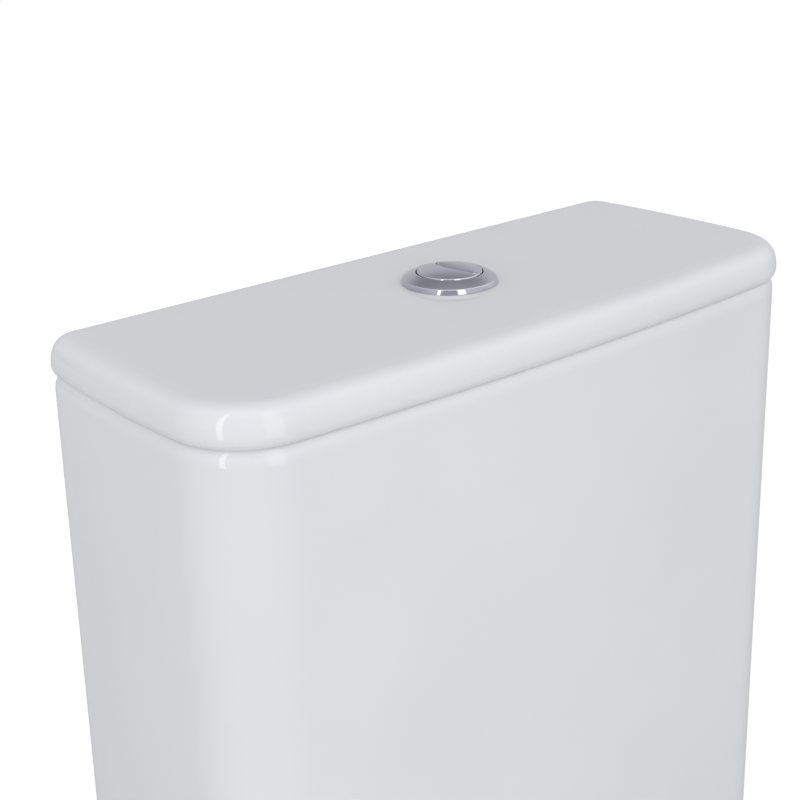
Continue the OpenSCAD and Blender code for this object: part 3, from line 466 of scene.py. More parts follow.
    @classmethod
    def rod(cls, name: str, radius: float, low: float, high: float, at: Point = (0.0, 0.0)) -> Piece:
        """Adds a plain round tool, in millimetres.

        Args:
            name: The tool's name.
            radius: Its radius.
            low: Height of its lower end.
            high: Height of its upper end.
            at: Where its axis stands.

        Returns:
            The tool.
        """
        cls.clear()
        bpy.ops.mesh.primitive_cylinder_add(vertices=96, radius=radius * MM, depth=(high - low) * MM,
                                            location=(at[0] * MM, at[1] * MM, (low + high) / 2 * MM))
        tool = bpy.context.object
        tool.name = name
        cls.settle()
        return tool

    @classmethod
    def slab(cls, name: str, low: Vector, high: Vector, edge: float) -> Piece:
        """Adds a block with rounded edges, in millimetres.

        Args:
            name: The piece's name.
            low: Its lowest corner.
            high: Its highest corner.
            edge: Width of the rounding.

        Returns:
            The block.
        """
        cls.clear()
        bpy.ops.mesh.primitive_cube_add(size=1, location=(low + high) / 2 * MM, scale=(high - low) * MM)
        piece = bpy.context.object
        piece.name = name
        cls.settle(scale=True)
        bpy.ops.object.mode_set(mode="EDIT")
        bpy.ops.mesh.select_all(action="SELECT")
        bpy.ops.mesh.bevel(offset=edge * MM, segments=3, affect="EDGES")
        return cls.close(piece)

    @classmethod
    def join(cls, piece: Piece, others: Sequence[Piece]) -> Piece:
        """Joins other pieces into the first.

        Args:
            piece: The piece that stays.
            others: The pieces that become part of it.

        Returns:
            The first piece.
        """
        cls.take(piece)
        for other in others:
            other.select_set(True)
        bpy.ops.object.join()
        return piece


class Dresser:
    """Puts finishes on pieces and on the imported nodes."""

    @staticmethod
    def paint(piece: Piece, finish: Finish) -> None:
        """Gives a piece one finish all over."""
        piece.data.materials.clear()
        piece.data.materials.append(finish.material())

    @classmethod
    def piece(cls, piece: Piece, finish: Finish, body: str, *nodes: str) -> Piece:
        """Finishes a new piece, ties it to a body and lets it stand for its nodes.

        Args:
            piece: The piece.
            finish: Its material.
            body: The body that it moves with.
            nodes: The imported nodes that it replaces.

        Returns:
            The same piece.
        """
        cls.paint(piece, finish)
        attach(piece, body)
        if nodes:
            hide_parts(*nodes)
        LOG.info("%s: %d faces, %s, on %s", piece.name, len(piece.data.polygons), finish.title, body)
        return piece

    @classmethod
    def nodes(cls, names: Sequence[str], finish: Finish, edge: float = 0.4) -> None:
        """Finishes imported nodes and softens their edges.

        Args:
            names: The nodes.
            finish: Their material.
            edge: Width of the rounding along their edges, in millimetres.
        """
        for name in names:
            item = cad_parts[name]
            cls.paint(item, finish)
            item.data.polygons.foreach_set("use_smooth", [True] * len(item.data.polygons))
            weld = item.modifiers.new("weld", "WELD")
            weld.merge_threshold = 0.002 * MM
            soften = item.modifiers.new("soften", "BEVEL")
            soften.width = edge * MM
            soften.segments = 2
            soften.limit_method = "ANGLE"
            soften.angle_limit = math.radians(40)
            even = item.modifiers.new("even", "WEIGHTED_NORMAL")
            even.weight = 80
            LOG.info("%s: packed node, %s", name, finish.title)


@dataclass(frozen=True)
class Thread:
    """A screw thread on a plain cylinder, with half its foot and half its crest as shares of the pitch."""

    name: str
    radius: float
    pitch: float
    low: float
    high: float
    at: Point = (0.0, 0.0)
    depth: float = 0.45
    bite: float = 0.15
    foot_share: float = 0.46
    crest_share: float = 0.092
    steps: int = 40

    def build(self) -> Piece:
        """Winds the ridge with a screw modifier and closes its ends.

        Returns:
            The ridge.
        """
        foot, tip = self.radius - self.bite, self.radius + self.depth
        half, crest = self.pitch * self.foot_share, self.pitch * self.crest_share
        ridge = [(foot, 0.0), (tip, half - crest), (tip, half + crest), (foot, half * 2)]
        points = [Vector((r, 0, self.low + z)) * MM for r, z in ridge]
        piece = Bench.chain(self.name, points + points[:1])
        bpy.ops.mesh.remove_doubles(threshold=1e-6)
        bpy.ops.object.mode_set(mode="OBJECT")
        turns = max(1, int((self.high - self.low) / self.pitch) - 1)
        Bench.wind(piece, self.pitch, turns, self.steps)
        top = (self.low + turns * self.pitch - HAIR) * MM
        bottom = (self.low + self.pitch) * MM
        Bench.cap(piece, lambda p: p.z >= top)
        Bench.cap(piece, lambda p: p.z <= bottom)
        Bench.close(piece, smooth=30)
        piece.location = (self.at[0] * MM, self.at[1] * MM, 0)
        Bench.take(piece)
        Bench.settle()
        return piece


# The cistern's sub-assemblies. Sizes are in millimetres.

RIM = 366.0
LID_HEIGHT = 18.5
INLET_X = -125.0
BOLT_X = 75.0


def quarter(steps: int) -> List[float]:
    """Gives angles from 0 to 90 degrees in equal steps, in radians."""
    return [math.pi / 2 * i / steps for i in range(steps + 1)]


def foot_round(reach: float, rise: float, steps: int, base: float = 0.0) -> List[Point]:
    """Draws a quarter round from a level base to an upright wall, as inset and height."""
    return [(reach * (1 - math.sin(t)), base + rise * (1 - math.cos(t))) for t in quarter(steps)]


def head_round(reach: float, drop: float, steps: int, top: float) -> List[Point]:
    """Draws a quarter round from an upright wall to a level top, as inset and height."""
    return [(reach * (1 - math.cos(t)), top - drop * (1 - math.sin(t))) for t in quarter(steps)]


@dataclass
class ChinaPlan:
    """Outline of the ceramic seen from above: arcs for front, front corner, side and back corner."""

    half_width: float
    front: float
    back: float = 72.0
    front_bow: float = 8.0
    side_bow: float = 4.5
    front_corner: float = 38.0
    back_corner: float = 14.0
    steps: Sequence[int] = (28, 26, 16, 16)

    def inside(self, inset: float, least_corner: float) -> "ChinaPlan":
        """Gives the outline of a hollow.

        Args:
            inset: How far it lies inside this outline.
            least_corner: The least radius of its corners.

        Returns:
            The hollow's outline.
        """
        share = (1 - inset / self.half_width) ** 2
        return ChinaPlan(self.half_width - inset, self.front + inset, self.back - inset,
                         self.front_bow * share, self.side_bow * share,
                         max(self.front_corner - inset, least_corner),
                         max(self.back_corner - inset, least_corner))

    def arcs(self) -> List[Tuple[Point, float, int]]:
        """Works out the right half's arcs in order from the front's middle.

        Returns:
            Centre, swing in degrees and number of steps of each arc.
        """
        half = (self.back - self.front) / 2
        middle = (self.back + self.front) / 2
        bow = (self.half_width ** 2 + self.front_bow ** 2) / (2 * self.front_bow)
        side = (half ** 2 + self.side_bow ** 2) / (2 * self.side_bow)
        bow_at = Vector((0, self.front + bow))
        side_at = Vector((self.half_width - side, middle))
        reach, other = bow - self.front_corner, side - self.front_corner
        gap = side_at - bow_at
        along = (gap.length ** 2 + reach ** 2 - other ** 2) / (2 * gap.length)
        away = math.sqrt(reach ** 2 - along ** 2)
        ahead = gap.normalized()
        corner = bow_at + ahead * along + Vector((-ahead.y, ahead.x)) * away
        rear_y = self.back - self.back_corner
        rear_x = side_at.x + math.sqrt((side - self.back_corner) ** 2 - (rear_y - middle) ** 2)
        rear = Vector((rear_x, rear_y))

        def bearing(here: Vector, there: Vector) -> float:
            """Gives the direction from one point to another in degrees."""
            return math.degrees(math.atan2(there.y - here.y, there.x - here.x))

        front_end = bearing(bow_at, corner)
        side_from = bearing(side_at, corner)
        side_to = bearing(side_at, rear)
        swings = (front_end + 90, side_from - front_end, side_to - side_from, 90 - side_to)
        centres = ((centre.x, centre.y) for centre in (bow_at, corner, side_at, rear))
        return list(zip(centres, swings, self.steps))

    def sweep(self, name: str, profile: Sequence[Point]) -> Piece:
        """Sweeps an upright profile round the outline and closes both ends.

        Args:
            name: The piece's name.
            profile: Inset from the outline and height of each point, from the underside to the top.

        Returns:
            The closed form.
        """
        piece = Bench.chain(name, [Vector((0, self.front + inset, z)) * MM for inset, z in profile])
        arcs = self.arcs()
        for centre, swing, steps in arcs:
            Bench.spin(centre, swing, steps)
        bpy.ops.mesh.extrude_edges_move(TRANSFORM_OT_translate={"value": (-arcs[-1][0][0] * MM, 0, 0)})
        bpy.ops.object.mode_set(mode="OBJECT")
        Bench.apply(piece, "MIRROR", use_clip=True, merge_threshold=5e-6)
        bpy.ops.object.mode_set(mode="EDIT")
        for height in (profile[0][1] * MM, profile[-1][1] * MM):
            Bench.cap(piece, lambda p: abs(p.z - height) < HAIR * MM)
        return Bench.close(piece)


@dataclass
class Tank:
    """The ceramic tank."""

    plan: ChinaPlan = field(default_factory=lambda: ChinaPlan(186.5, -80.5))
    height: float = RIM
    wall: float = 9.5
    floor: float = 12.0
    base_round: float = 10.0
    wall_heights: Sequence[float] = (60.0, 130.0, 200.0, 270.0, 330.0)
    rim_round: Tuple[float, float] = (4.0, 7.5)
    rim_inner: float = 1.5
    floor_round: float = 10.0
    hollow_corner: float = 12.0
    taper: float = 0.5
    outlet_r: float = 31.5
    inlet_r: float = 11.45
    bolt_r: float = 6.0
    bore_span: Tuple[float, float] = (-5.0, 20.0)
    screw_x: float = 115.0
    screw_z: float = 311.0
    screw_r: float = 4.0
    screw_inset: float = 5.0
    screw_reach: float = 10.0

    def drawn_in(self, points: Sequence[Point]) -> List[Point]:
        """Adds the walls' draft towards the underside to a profile."""
        return [(inset + self.taper * (1 - min(z / self.height, 1)), z) for inset, z in points]

    def outer(self) -> List[Point]:
        """Draws the outside from the underside's rounding to the rim's.

        Returns:
            Inset and height of each point.
        """
        points = foot_round(self.base_round, self.base_round, 8)
        points += [(0.0, z) for z in self.wall_heights]
        points += head_round(*self.rim_round, 10, self.height)
        return self.drawn_in(points)

    def inner(self) -> List[Point]:
        """Draws the hollow from the floor's rounding to past the rim.

        Returns:
            Inset from the inner wall and height of each point.
        """
        points = foot_round(self.floor_round, self.floor_round, 8, self.floor)
        points += head_round(-self.rim_inner, self.rim_inner, 4, self.height)
        points.append((-self.rim_inner, self.height + CLEAR))
        return self.drawn_in(points)

    def build(self) -> Piece:
        """Sweeps the outside, hollows it and bores the holes.

        Returns:
            The tank.
        """
        piece = self.plan.sweep("tank_glazed", self.outer())
        Bench.cut(piece, self.plan.inside(self.wall, self.hollow_corner).sweep("tank_hollow", self.inner()))
        for x, radius in ((0.0, self.outlet_r), (INLET_X, self.inlet_r), (-BOLT_X, self.bolt_r),
                          (BOLT_X, self.bolt_r)):
            Bench.cut(piece, Bench.rod("floor_bore", radius, *self.bore_span, (x, 0.0)))
        for side in (-1, 1):
            tool = Bench.rod("screw_bore", self.screw_r, -self.screw_reach, self.screw_reach)
            middle = Vector((side * self.screw_x, self.plan.back - self.screw_inset, self.screw_z)) * MM
            tool.data.transform(Matrix.Translation(middle) @ Matrix.Rotation(math.pi / 2, 4, "X"))
            Bench.cut(piece, tool)
        Bench.even(piece)
        return piece

    def dress(self) -> None:
        """Glazes the tank."""
        Dresser.piece(self.build(), CHINA, "cistern", "cistern_tank")


@dataclass
class Lid:
    """The ceramic lid with its locating ribs."""

    plan: ChinaPlan = field(default_factory=lambda: ChinaPlan(187.49, -81.49))
    rim: float = RIM
    height: float = LID_HEIGHT
    crown: float = 0.3
    crown_inset: float = 2.5
    foot: float = 1.0
    tuck: float = 3.0
    belly: float = 5.0
    shoulder: float = 11.0
    fullness: float = 2.3
    plate: float = 10.0
    lip: float = 14.0
    hollow_corner: float = 8.0
    draft: float = 4.0
    draft_knee: Tuple[float, float] = (0.3, 0.7)
    hole_r: float = 20.0
    rib: Triple = (90.0, 8.0, 7.0)
    rib_x: float = 93.75
    rib_back: float = 60.5
    rib_front: float = -64.5
    rib_root: float = 1.0
    rib_edge: float = 1.5

    def edge(self) -> List[Point]:
        """Draws the edge's section from the underside over the belly and the shoulder to the top.

        Returns:
            Inset and height of each point.
        """
        points = [(self.tuck + self.foot, self.rim)]
        points += foot_round(self.tuck, self.belly, 8, self.rim)
        rise = self.height - self.crown - self.belly
        power = 2 / self.fullness
        points += [(self.shoulder * (1 - max(math.cos(t), 0.0) ** power),
                    self.rim + self.belly + rise * math.sin(t) ** power) for t in quarter(22)[1:]]
        points.append((self.shoulder + self.crown_inset, self.rim + self.height))
        return points

    def recess(self) -> List[Point]:
        """Draws the hollow under the plate.

        Returns:
            Inset from the lip's inner edge and height of each point.
        """
        top = self.rim + self.height - self.plate
        inset_share, height_share = self.draft_knee
        return [(0.0, self.rim - CLEAR), (0.0, self.rim),
                (self.draft * inset_share, self.rim + (top - self.rim) * height_share), (self.draft, top)]

    def build(self) -> Piece:
        """Sweeps the lid, hollows its underside, bores the button's hole and adds the ribs.

        Returns:
            The lid.
        """
        piece = self.plan.sweep("lid_glazed", self.edge())
        Bench.cut(piece, self.plan.inside(self.lip, self.hollow_corner).sweep("lid_hollow", self.recess()))
        top = self.rim + self.height
        Bench.cut(piece, Bench.rod("button_bore", self.hole_r, self.rim - CLEAR, top + CLEAR))
        Bench.even(piece)
        length, thick, drop = self.rib
        ribs = []
        for middle in (-self.rib_x, self.rib_x):
            for near in (self.rib_back - thick, self.rib_front):
                low = Vector((middle - length / 2, near, self.rim - drop))
                high = Vector((middle + length / 2, near + thick, top - self.plate + self.rib_root))
                ribs.append(Bench.slab("locating_rib", low, high, self.rib_edge))
        return Bench.join(piece, ribs)

    def dress(self) -> None:
        """Glazes the lid."""
        Dresser.piece(self.build(), CHINA, "lid", "cistern_lid")


class Side(Enum):
    """The two buttons, by the direction in which each lies."""

    FULL = -1
    HALF = 1


@dataclass
class PushButton:
    """Chrome bezel, two buttons on springs, and the sleeve that holds them in the lid.

    Shares are of a button's outline, measured from its middle. The fall is that of the half-flush button
    towards the split: its radius, where it ends and how deep it starts.
    """

    top: float = RIM + LID_HEIGHT
    bezel_r: float = 24.0
    bezel_h: float = 5.3
    bezel_edge: float = 2.4
    bezel_draft: float = 0.9
    bezel_round: float = 0.2
    bezel_bend: float = 0.06
    bezel_bulge: float = 0.25
    bezel_lip: float = 0.6
    bezel_seat: float = 2.5
    bezel_steps: int = 14
    sleeve_play: float = 0.05
    well_r: float = 16.5
    button_r: float = 16.1
    proud: float = 0.6
    dome: float = 1.6
    edge_round: float = 0.8
    edge_share: float = 0.08
    top_shares: Sequence[float] = (0.86, 0.78, 0.68, 0.56, 0.44, 0.32, 0.2, 0.08)
    hollow_share: float = 0.86
    skirt: float = 8.0
    skin: float = 2.0
    split_x: float = -1.6
    split_bow: float = 7.0
    split_sway: float = 0.4
    split_gap: float = 0.9
    split_end: float = 0.1
    split_steps: int = 60
    round_steps: int = 72
    rear_gap: float = 0.8
    rear_share: float = 0.5
    fall: Triple = (32.0, 10.0, 0.7)
    middle: Dict[Side, float] = field(default_factory=lambda: {Side.FULL: -9.5, Side.HALF: 8.0})
    rod_x: float = 9.0
    stem_r: float = 3.7
    stem_bore: float = 2.55
    stem_low: float = 343.5
    stem_root: float = 0.3
    collar: float = 1.5
    collar_gap: float = 0.3
    chamfer: float = 0.3
    sleeve_r: float = 19.0
    sleeve_low: float = 351.5
    sleeve_thread: Thread = Thread("sleeve_thread", sleeve_r, 3.0, 352.5, 374.0, depth=0.6)
    spring: Tuple[float, float, float, float] = (4.8, 0.5, 355.15, 387.75)
    spring_turns: int = 6
    spring_steps: int = 36

    def bezel(self) -> Piece:
        """Turns the bezel.

        Returns:
            A steep edge, a convex slope and a rounded lip round the well.
        """
        lip, soft, bend = self.bezel_lip, self.bezel_round, self.bezel_bend
        inner = self.sleeve_r + self.sleeve_play
        outer = self.bezel_r - self.bezel_draft
        run = outer - self.well_r - lip
        rise = self.bezel_h - self.bezel_edge
        profile = [(inner, 0.0), (self.bezel_r - soft, 0.0), (self.bezel_r, soft)]
        profile += [(outer + bend, self.bezel_edge - soft), (outer - bend, self.bezel_edge)]
        shares = [(i + 1) / self.bezel_steps for i in range(self.bezel_steps)]
        profile += [(outer - run * s, self.bezel_edge + rise * (s + self.bezel_bulge * s * (1 - s)))
                    for s in shares]
        profile += [(self.well_r + lip * (1 - math.sin(t)), self.bezel_h - lip * (1 - math.cos(t)))
                    for t in quarter(5)[1:]]
        profile += [(self.well_r, self.bezel_seat), (inner, self.bezel_seat)]
        raised = [(r, self.top + z) for r, z in profile]
        return Bench.lathe("button_bezel_chrome", raised, steps=128, smooth=30)

    def split(self, y: float) -> float:
        """Gives the split's place at a depth: a deep bow with a slight sway."""
        share = y / self.button_r
        return self.split_x + self.split_bow * share ** 2 - self.split_sway * math.sin(math.pi * share)

    def outline(self, side: Side) -> List[Point]:
        """Draws one button seen from above: its face along the split, then the round outside.

        Args:
            side: Which of the two.

        Returns:
            The outline's points in order.
        """
        ys = [self.button_r * (i / self.split_steps - 1) for i in range(2 * self.split_steps + 1)]
        line = [(self.split(y) + side.value * self.split_gap / 2, y) for y in ys]
        if side is Side.HALF:
            start = self.rear_share
            line = [(x + self.rear_gap * max(0.0, y / self.button_r - start) / (1 - start), y)
                    for x, y in line]
        line = [p for p in line if math.hypot(*p) < self.button_r - self.split_end]
        start, end = math.atan2(line[-1][1], line[-1][0]), math.atan2(line[0][1], line[0][0])
        swing = (end - start) % math.tau if side is Side.FULL else -((start - end) % math.tau)
        arc = [start + swing * i / self.round_steps for i in range(self.round_steps + 1)]
        return line + [(self.button_r * math.cos(t), self.button_r * math.sin(t)) for t in arc]

    def crown(self, side: Side, point: Vector) -> float:
        """Gives the height of a button's top in metres.

        Args:
            side: Which of the two.
            point: Where, in metres.

        Returns:
            The dome's height, or on the half-flush button that of its fall where it is lower.
        """
        flat = self.button_r - self.edge_round
        dome_r = (flat ** 2 + self.dome ** 2) / (2 * self.dome)
        x, y = point.x / MM, point.y / MM
        top = self.top + self.bezel_h + self.proud + self.dome
        height = top - (x * x + y * y) / (2 * dome_r)
        if side is Side.HALF:
            radius, place, depth = self.fall
            height = min(height, top - depth - max(0.0, place - x) ** 2 / (2 * radius))
        return height * MM

    def ring(self, side: Side, point: Vector, drop: float) -> Vector:
        """Sets a point of a button's top at its height, less the drop of the rounded edge."""
        return Vector((point.x, point.y, self.crown(side, point) - drop * MM))

    def button(self, side: Side) -> Piece:
        """Models one button: walls up from its outline, a rounded edge, a domed top and a hollow underside.

        Args:
            side: Which of the two.

        Returns:
            The button.
        """
        edge_z = self.top + self.bezel_h + self.proud
        low = edge_z - self.skirt
        points = [Vector((x, y, low)) * MM for x, y in self.outline(side)]
        piece = Bench.chain(f"{side.name.lower()}_flush_button_chrome", points + points[:1])
        bpy.ops.mesh.remove_doubles(threshold=1e-6)
        bpy.ops.mesh.select_all(action="SELECT")
        bpy.ops.mesh.edge_face_add()
        bpy.ops.mesh.extrude_region_move(TRANSFORM_OT_translate={"value": (0, 0, self.skirt * MM)})
        middle = Vector((self.middle[side] * MM, 0, 0))
        rings = [(1 - self.edge_share * (1 - math.cos(t)), self.edge_round * (1 - math.sin(t)))
                 for t in quarter(6)]
        rings += [(share, 0.0) for share in self.top_shares]
        before = 1.0
        for share, drop in rings:
            if share < 1:
                bpy.ops.mesh.extrude_region_move()
            Bench.shape(piece, lambda p: self.ring(side, middle + (p - middle) * share / before, drop))
            before = share

        def underside(face: bmesh.types.BMFace) -> bool:
            """Tells whether a face looks down at the walls' lower end."""
            return face.normal.z < -0.9 and abs(face.calc_center_median().z - low * MM) < HAIR * MM

        Bench.pick_faces(piece, underside)
        bpy.ops.mesh.extrude_region_move()
        kept = self.hollow_share
        Bench.shape(piece, lambda p: middle + (p - middle) * kept + Vector((0, 0, (1 - kept) * p.z)))
        depth = (self.skirt - self.skin) * MM
        bpy.ops.mesh.extrude_region_move(TRANSFORM_OT_translate={"value": (0, 0, depth)})
        Bench.close(piece, smooth=32)
        return Bench.join(piece, [self.stem(side, edge_z - self.skin + self.stem_root)])

    def stem(self, side: Side, high: float) -> Piece:
        """Turns a button's stem with the collar that stops it under the sleeve.

        Args:
            side: Which of the two.
            high: Height of its upper end, inside the button.

        Returns:
            The stem.
        """
        bore, low, chamfer = self.stem_bore, self.stem_low, self.chamfer
        collar_r, collar_top = self.stem_r + self.collar, self.sleeve_low - self.collar_gap
        profile = [(bore, low), (collar_r - chamfer, low), (collar_r, low + chamfer),
                   (collar_r, collar_top - chamfer), (collar_r - chamfer, collar_top),
                   (self.stem_r, collar_top), (self.stem_r, high), (bore, high)]
        return Bench.lathe("stem", profile, (side.value * self.rod_x, 0.0), steps=48)

    def coil(self, side: Side) -> Piece:
        """Winds one return spring from round wire.

        Args:
            side: The button that the spring lifts.

        Returns:
            The spring.
        """
        radius, wire, low, high = self.spring
        end = wire * 1.2
        Bench.clear()
        bpy.ops.mesh.primitive_circle_add(vertices=12, radius=wire * MM, fill_type="NOTHING",
                                          location=Vector((radius, 0, low)) * MM,
                                          rotation=(math.pi / 2, 0, 0))
        piece = bpy.context.object
        piece.name = f"{side.name.lower()}_flush_coil"
        Bench.settle(rotation=True)
        Bench.wind(piece, (high - low) / self.spring_turns, self.spring_turns, self.spring_steps)
        Bench.cap(piece, lambda p: p.z < (low + end) * MM)
        Bench.cap(piece, lambda p: p.z > (high - end) * MM)
        Bench.close(piece, smooth=60)
        piece.location.x = side.value * self.rod_x * MM
        Bench.settle()
        return piece

    def dress(self) -> None:
        """Plates the button, fits the springs and finishes the sleeve's pieces."""
        Dresser.piece(self.bezel(), CHROME, "lid", "button_bezel")
        for side in Side:
            word = side.name.lower()
            Dresser.piece(self.button(side), CHROME, f"{word}_button", f"{word}_flush_button")
            coil = Dresser.piece(self.coil(side), STEEL, "lid", f"{word}_flush_spring")
            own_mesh(coil)
            Dresser.nodes([f"{word}_flush_rod"], WHITE)
        Dresser.piece(self.sleeve_thread.build(), WHITE, "lid")
        Dresser.nodes(["button_sleeve"], WHITE)
        Dresser.nodes(["sleeve_nut"], WHITE, edge=0.8)
        Dresser.nodes(["sleeve_washer"], RUBBER)


@dataclass
class FlushValve:
    """The drop valve over the outlet, its levers, and its seal to the pan."""

    tail: Thread = Thread("tail_thread", 29.8, 3.2, -35.5, -13.0, depth=0.6)
    whites: Sequence[str] = ("valve_base", "valve_backnut", "overflow_tube", "seal_retainer",
                             "full_flush_float", "half_lift_rod", "full_flush_lever", "half_flush_lever")
    blues: Sequence[str] = ("lift_head", "half_flush_float")

    def dress(self) -> None:
        """Cuts the tail's thread and finishes the valve's nodes."""
        Dresser.piece(self.tail.build(), WHITE, "cistern")
        Dresser.nodes(self.whites, WHITE)
        Dresser.nodes(self.blues, BLUE, edge=0.7)
        Dresser.nodes(["valve_tower"], GREY, edge=0.5)
        Dresser.nodes(["valve_washer"], RUBBER)
        Dresser.nodes(["pan_seal"], RUBBER, edge=1.2)
        Dresser.nodes(["flush_seal"], SILICONE)
        Dresser.nodes(["lever_pins"], STEEL)


@dataclass
class FillValve:
    """The float valve on its riser."""

    inlet: Thread = Thread("inlet_thread_ridge", 10.45, 1.814, -49.0, -19.5, (INLET_X, 0.0))
    whites: Sequence[str] = ("fill_riser", "fill_nut", "fill_head", "fill_lever", "fill_float")
    blues: Sequence[str] = ("inlet_filter", "fill_cap", "float_rod")

    def dress(self) -> None:
        """Cuts the inlet's thread and finishes the valve's nodes."""
        Dresser.piece(self.inlet.build(), WHITE, "cistern")
        Dresser.nodes(self.whites, WHITE)
        Dresser.nodes(self.blues, BLUE)
        Dresser.nodes(["silencer_tube"], GREY)
        Dresser.nodes(["fill_washer", "fill_diaphragm"], RUBBER)
        Dresser.nodes(["fill_lever_pin"], STEEL)


@dataclass
class PanBolts:
    """The two bolts to the pan with their seals, washers and nuts."""

    left_stud: Thread = Thread("left_stud_thread", 4.0, 1.25, -61.0, -10.5, (-BOLT_X, 0.0), 0.3)
    right_stud: Thread = replace(left_stud, name="right_stud_thread", at=(BOLT_X, 0.0))

    def dress(self) -> None:
        """Rolls the studs' threads and finishes the bolts' nodes."""
        for stud in (self.left_stud, self.right_stud):
            Dresser.piece(stud.build(), ZINC, "cistern")
        Dresser.nodes(["pan_bolts", "bolt_washers", "bolt_nuts"], ZINC, edge=0.3)
        Dresser.nodes(["bolt_seals"], RUBBER, edge=0.6)


# The studio.

@dataclass(frozen=True)
class SoftBox:
    """An upright strip of light that shows in the glaze and the chrome, in metres."""

    name: str
    azimuth: float
    distance: float
    width: float
    low: float
    high: float
    radiance: float
    fill: bool = False

    def build(self, target: Vector) -> None:
        """Stands the strip and turns it to the target. A fill lights without showing in the gloss.

        Args:
            target: The point it faces.
        """
        lamp = bpy.data.lights.new(self.name, "AREA")
        lamp.shape = "RECTANGLE"
        lamp.size, lamp.size_y = self.width, self.high - self.low
        lamp.energy = self.radiance * math.pi * self.width * (self.high - self.low)
        holder = bpy.data.objects.new(self.name, lamp)
        bpy.context.scene.collection.objects.link(holder)
        turn = math.radians(self.azimuth)
        away = Vector((math.sin(turn), -math.cos(turn), 0))
        holder.location = Vector((target.x, target.y, (self.low + self.high) / 2)) + away * self.distance
        holder.rotation_euler = away.to_track_quat("Z", "Y").to_euler()
        holder.visible_diffuse = self.fill
        holder.visible_glossy = not self.fill
        holder.visible_camera = False


@dataclass(frozen=True)
class Shade:
    """A smooth change of the room's light towards one direction, from before start to after end."""

    towards: Triple
    start: float
    end: float
    before: float
    after: float


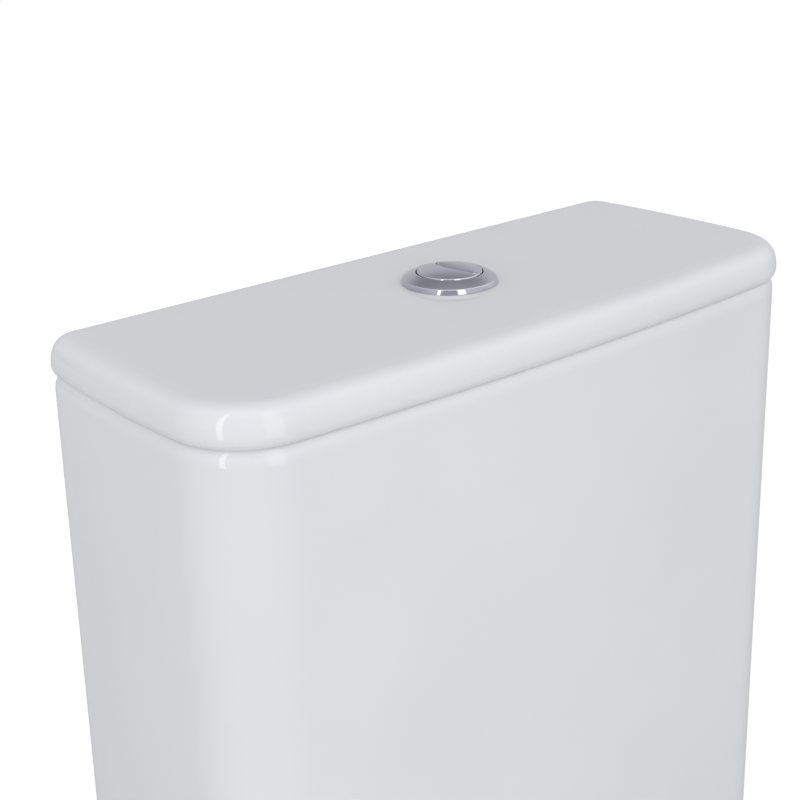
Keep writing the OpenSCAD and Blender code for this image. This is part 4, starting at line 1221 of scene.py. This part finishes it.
@dataclass
class Studio:
    """Pale floor, soft light and the camera.

    The eye and the corner that the lamps face are in millimetres, the camera's turns in radians, its focal
    length and centre in pixels. The floor's glow is what the object gets and what the camera sees.
    """

    eye: Triple = (-467.0, -510.72, 591.81)
    yaw: float = 0.7053
    pitch: float = 0.3059
    roll: float = -0.024
    focal_px: float = 1477.4
    image_px: int = 800
    centre_row: float = 304.0
    floor_half: float = 4.0
    floor_gap: float = 0.0005
    floor_glow: Tuple[float, float] = (0.55, 1.55)
    floor_mix: float = 0.5
    corner: Triple = (-175.0, -66.0, 370.0)
    boxes: Sequence[SoftBox] = (
        SoftBox("narrow strip", -69.0, 0.75, 0.1, 0.07, 1.45, 2.6),
        SoftBox("wide strip", -1.0, 0.75, 0.31, 0.07, 1.6, 1.0),
        SoftBox("fill", -42.0, 1.8, 3.6, 0.2, 1.35, 1.35, True),
    )
    # Overhead, behind, round the camera, and up from the walls' foot.
    shades: Sequence[Shade] = (
        Shade((0.25, 0.3, 0.92), 0.68, 0.95, 1.3, 0.62),
        Shade((0.42, 0.9, 0.0), -0.8, 0.9, 1.14, 0.475),
        Shade((-0.6, -0.7, 0.38), 0.9, 0.96, 1.0, 0.62),
        Shade((0.35, 0.41, 0.84), 0.2, 0.5, 0.52, 1.0),
    )

    def camera(self) -> None:
        """Stands the camera where the photo was taken from."""
        ahead = Vector((math.sin(self.yaw) * math.cos(self.pitch), math.cos(self.yaw) * math.cos(self.pitch),
                        -math.sin(self.pitch)))
        right = ahead.cross(Vector((0, 0, 1))).normalized()
        up = right.cross(ahead)
        c, s = math.cos(self.roll), math.sin(self.roll)
        right, up = right * c + up * s, up * c - right * s
        lens = bpy.data.cameras.new("photo camera")
        lens.sensor_width = 36.0
        lens.lens = self.focal_px * lens.sensor_width / self.image_px
        lens.shift_y = (self.centre_row - self.image_px / 2) / self.image_px
        lens.clip_start = 0.01
        holder = bpy.data.objects.new("photo camera", lens)
        holder.matrix_world = Matrix((right, up, -ahead)).transposed().to_4x4()
        holder.matrix_world.translation = Vector(self.eye) * MM
        bpy.context.scene.collection.objects.link(holder)
        bpy.context.scene.camera = holder

    def floor(self) -> None:
        """Lays the pale lit floor under the cistern, which still takes its shadow."""
        Bench.clear()
        low = CAD_BOX[0][2] - self.floor_gap
        bpy.ops.mesh.primitive_plane_add(size=2 * self.floor_half, location=(0, 0, low))
        plane = bpy.context.object
        plane.name = "studio_floor"
        Bench.settle()
        material = bpy.data.materials.new("light table of opal acrylic")
        tree = bare_tree(material)
        lit, seen = self.floor_glow
        paper = add_node(tree, "ShaderNodeBsdfDiffuse", {"Color": linear("#D6D6D8")})
        rays = add_node(tree, "ShaderNodeLightPath")
        level = add_node(tree, "ShaderNodeMapRange", {"To Min": lit, "To Max": seen},
                         {"Value": rays.outputs["Is Camera Ray"]})
        glow = add_node(tree, "ShaderNodeEmission", {"Color": linear("#FFFFFF")},
                        {"Strength": level.outputs["Result"]})
        mix = add_node(tree, "ShaderNodeMixShader", {0: self.floor_mix},
                       {1: paper.outputs[0], 2: glow.outputs[0]})
        add_node(tree, "ShaderNodeOutputMaterial", links={"Surface": mix.outputs[0]})
        plane.data.materials.append(material)

    def sky(self) -> None:
        """Lights the room: bright in front and at the sides, dim overhead, behind and round the camera."""
        world = bpy.data.worlds.new("studio")
        bpy.context.scene.world = world
        tree = bare_tree(world)
        place = add_node(tree, "ShaderNodeTexCoord").outputs["Generated"]
        so_far: Dict[int, Socket] = {}
        for shade in self.shades:
            along = add_node(tree, "ShaderNodeVectorMath", {1: shade.towards}, {0: place},
                             operation="DOT_PRODUCT")
            change = add_node(tree, "ShaderNodeMapRange",
                              {"From Min": shade.start, "From Max": shade.end,
                               "To Min": shade.before, "To Max": shade.after},
                              {"Value": along.outputs["Value"]}, interpolation_type="SMOOTHSTEP")
            level = add_node(tree, "ShaderNodeMath", {0: 1.0}, {**so_far, 1: change.outputs["Result"]},
                             operation="MULTIPLY")
            so_far = {0: level.outputs[0]}
        room = add_node(tree, "ShaderNodeBackground", {"Color": linear("#FBFCFF")}, {"Strength": so_far[0]})
        white = add_node(tree, "ShaderNodeBackground", {"Color": linear("#FFFFFF"), "Strength": 1.0})
        rays = add_node(tree, "ShaderNodeLightPath")
        mix = add_node(tree, "ShaderNodeMixShader",
                       links={0: rays.outputs["Is Camera Ray"], 1: room.outputs[0], 2: white.outputs[0]})
        add_node(tree, "ShaderNodeOutputWorld", links={"Surface": mix.outputs[0]})

    def build(self) -> None:
        """Sets up camera, floor, room and lamps."""
        bpy.context.scene.view_settings.view_transform = "Standard"
        self.camera()
        self.floor()
        self.sky()
        for box in self.boxes:
            box.build(Vector(self.corner) * MM)


def main() -> None:
    """Builds the cistern's sub-assemblies in order, then the studio."""
    logging.basicConfig(level=logging.INFO, format="%(name)s: %(message)s")
    for assembly in (Tank(), Lid(), PushButton(), FlushValve(), FillValve(), PanBolts()):
        LOG.info("%s", type(assembly).__name__)
        assembly.dress()
    Studio().build()


if __name__ == "__main__":
    main()
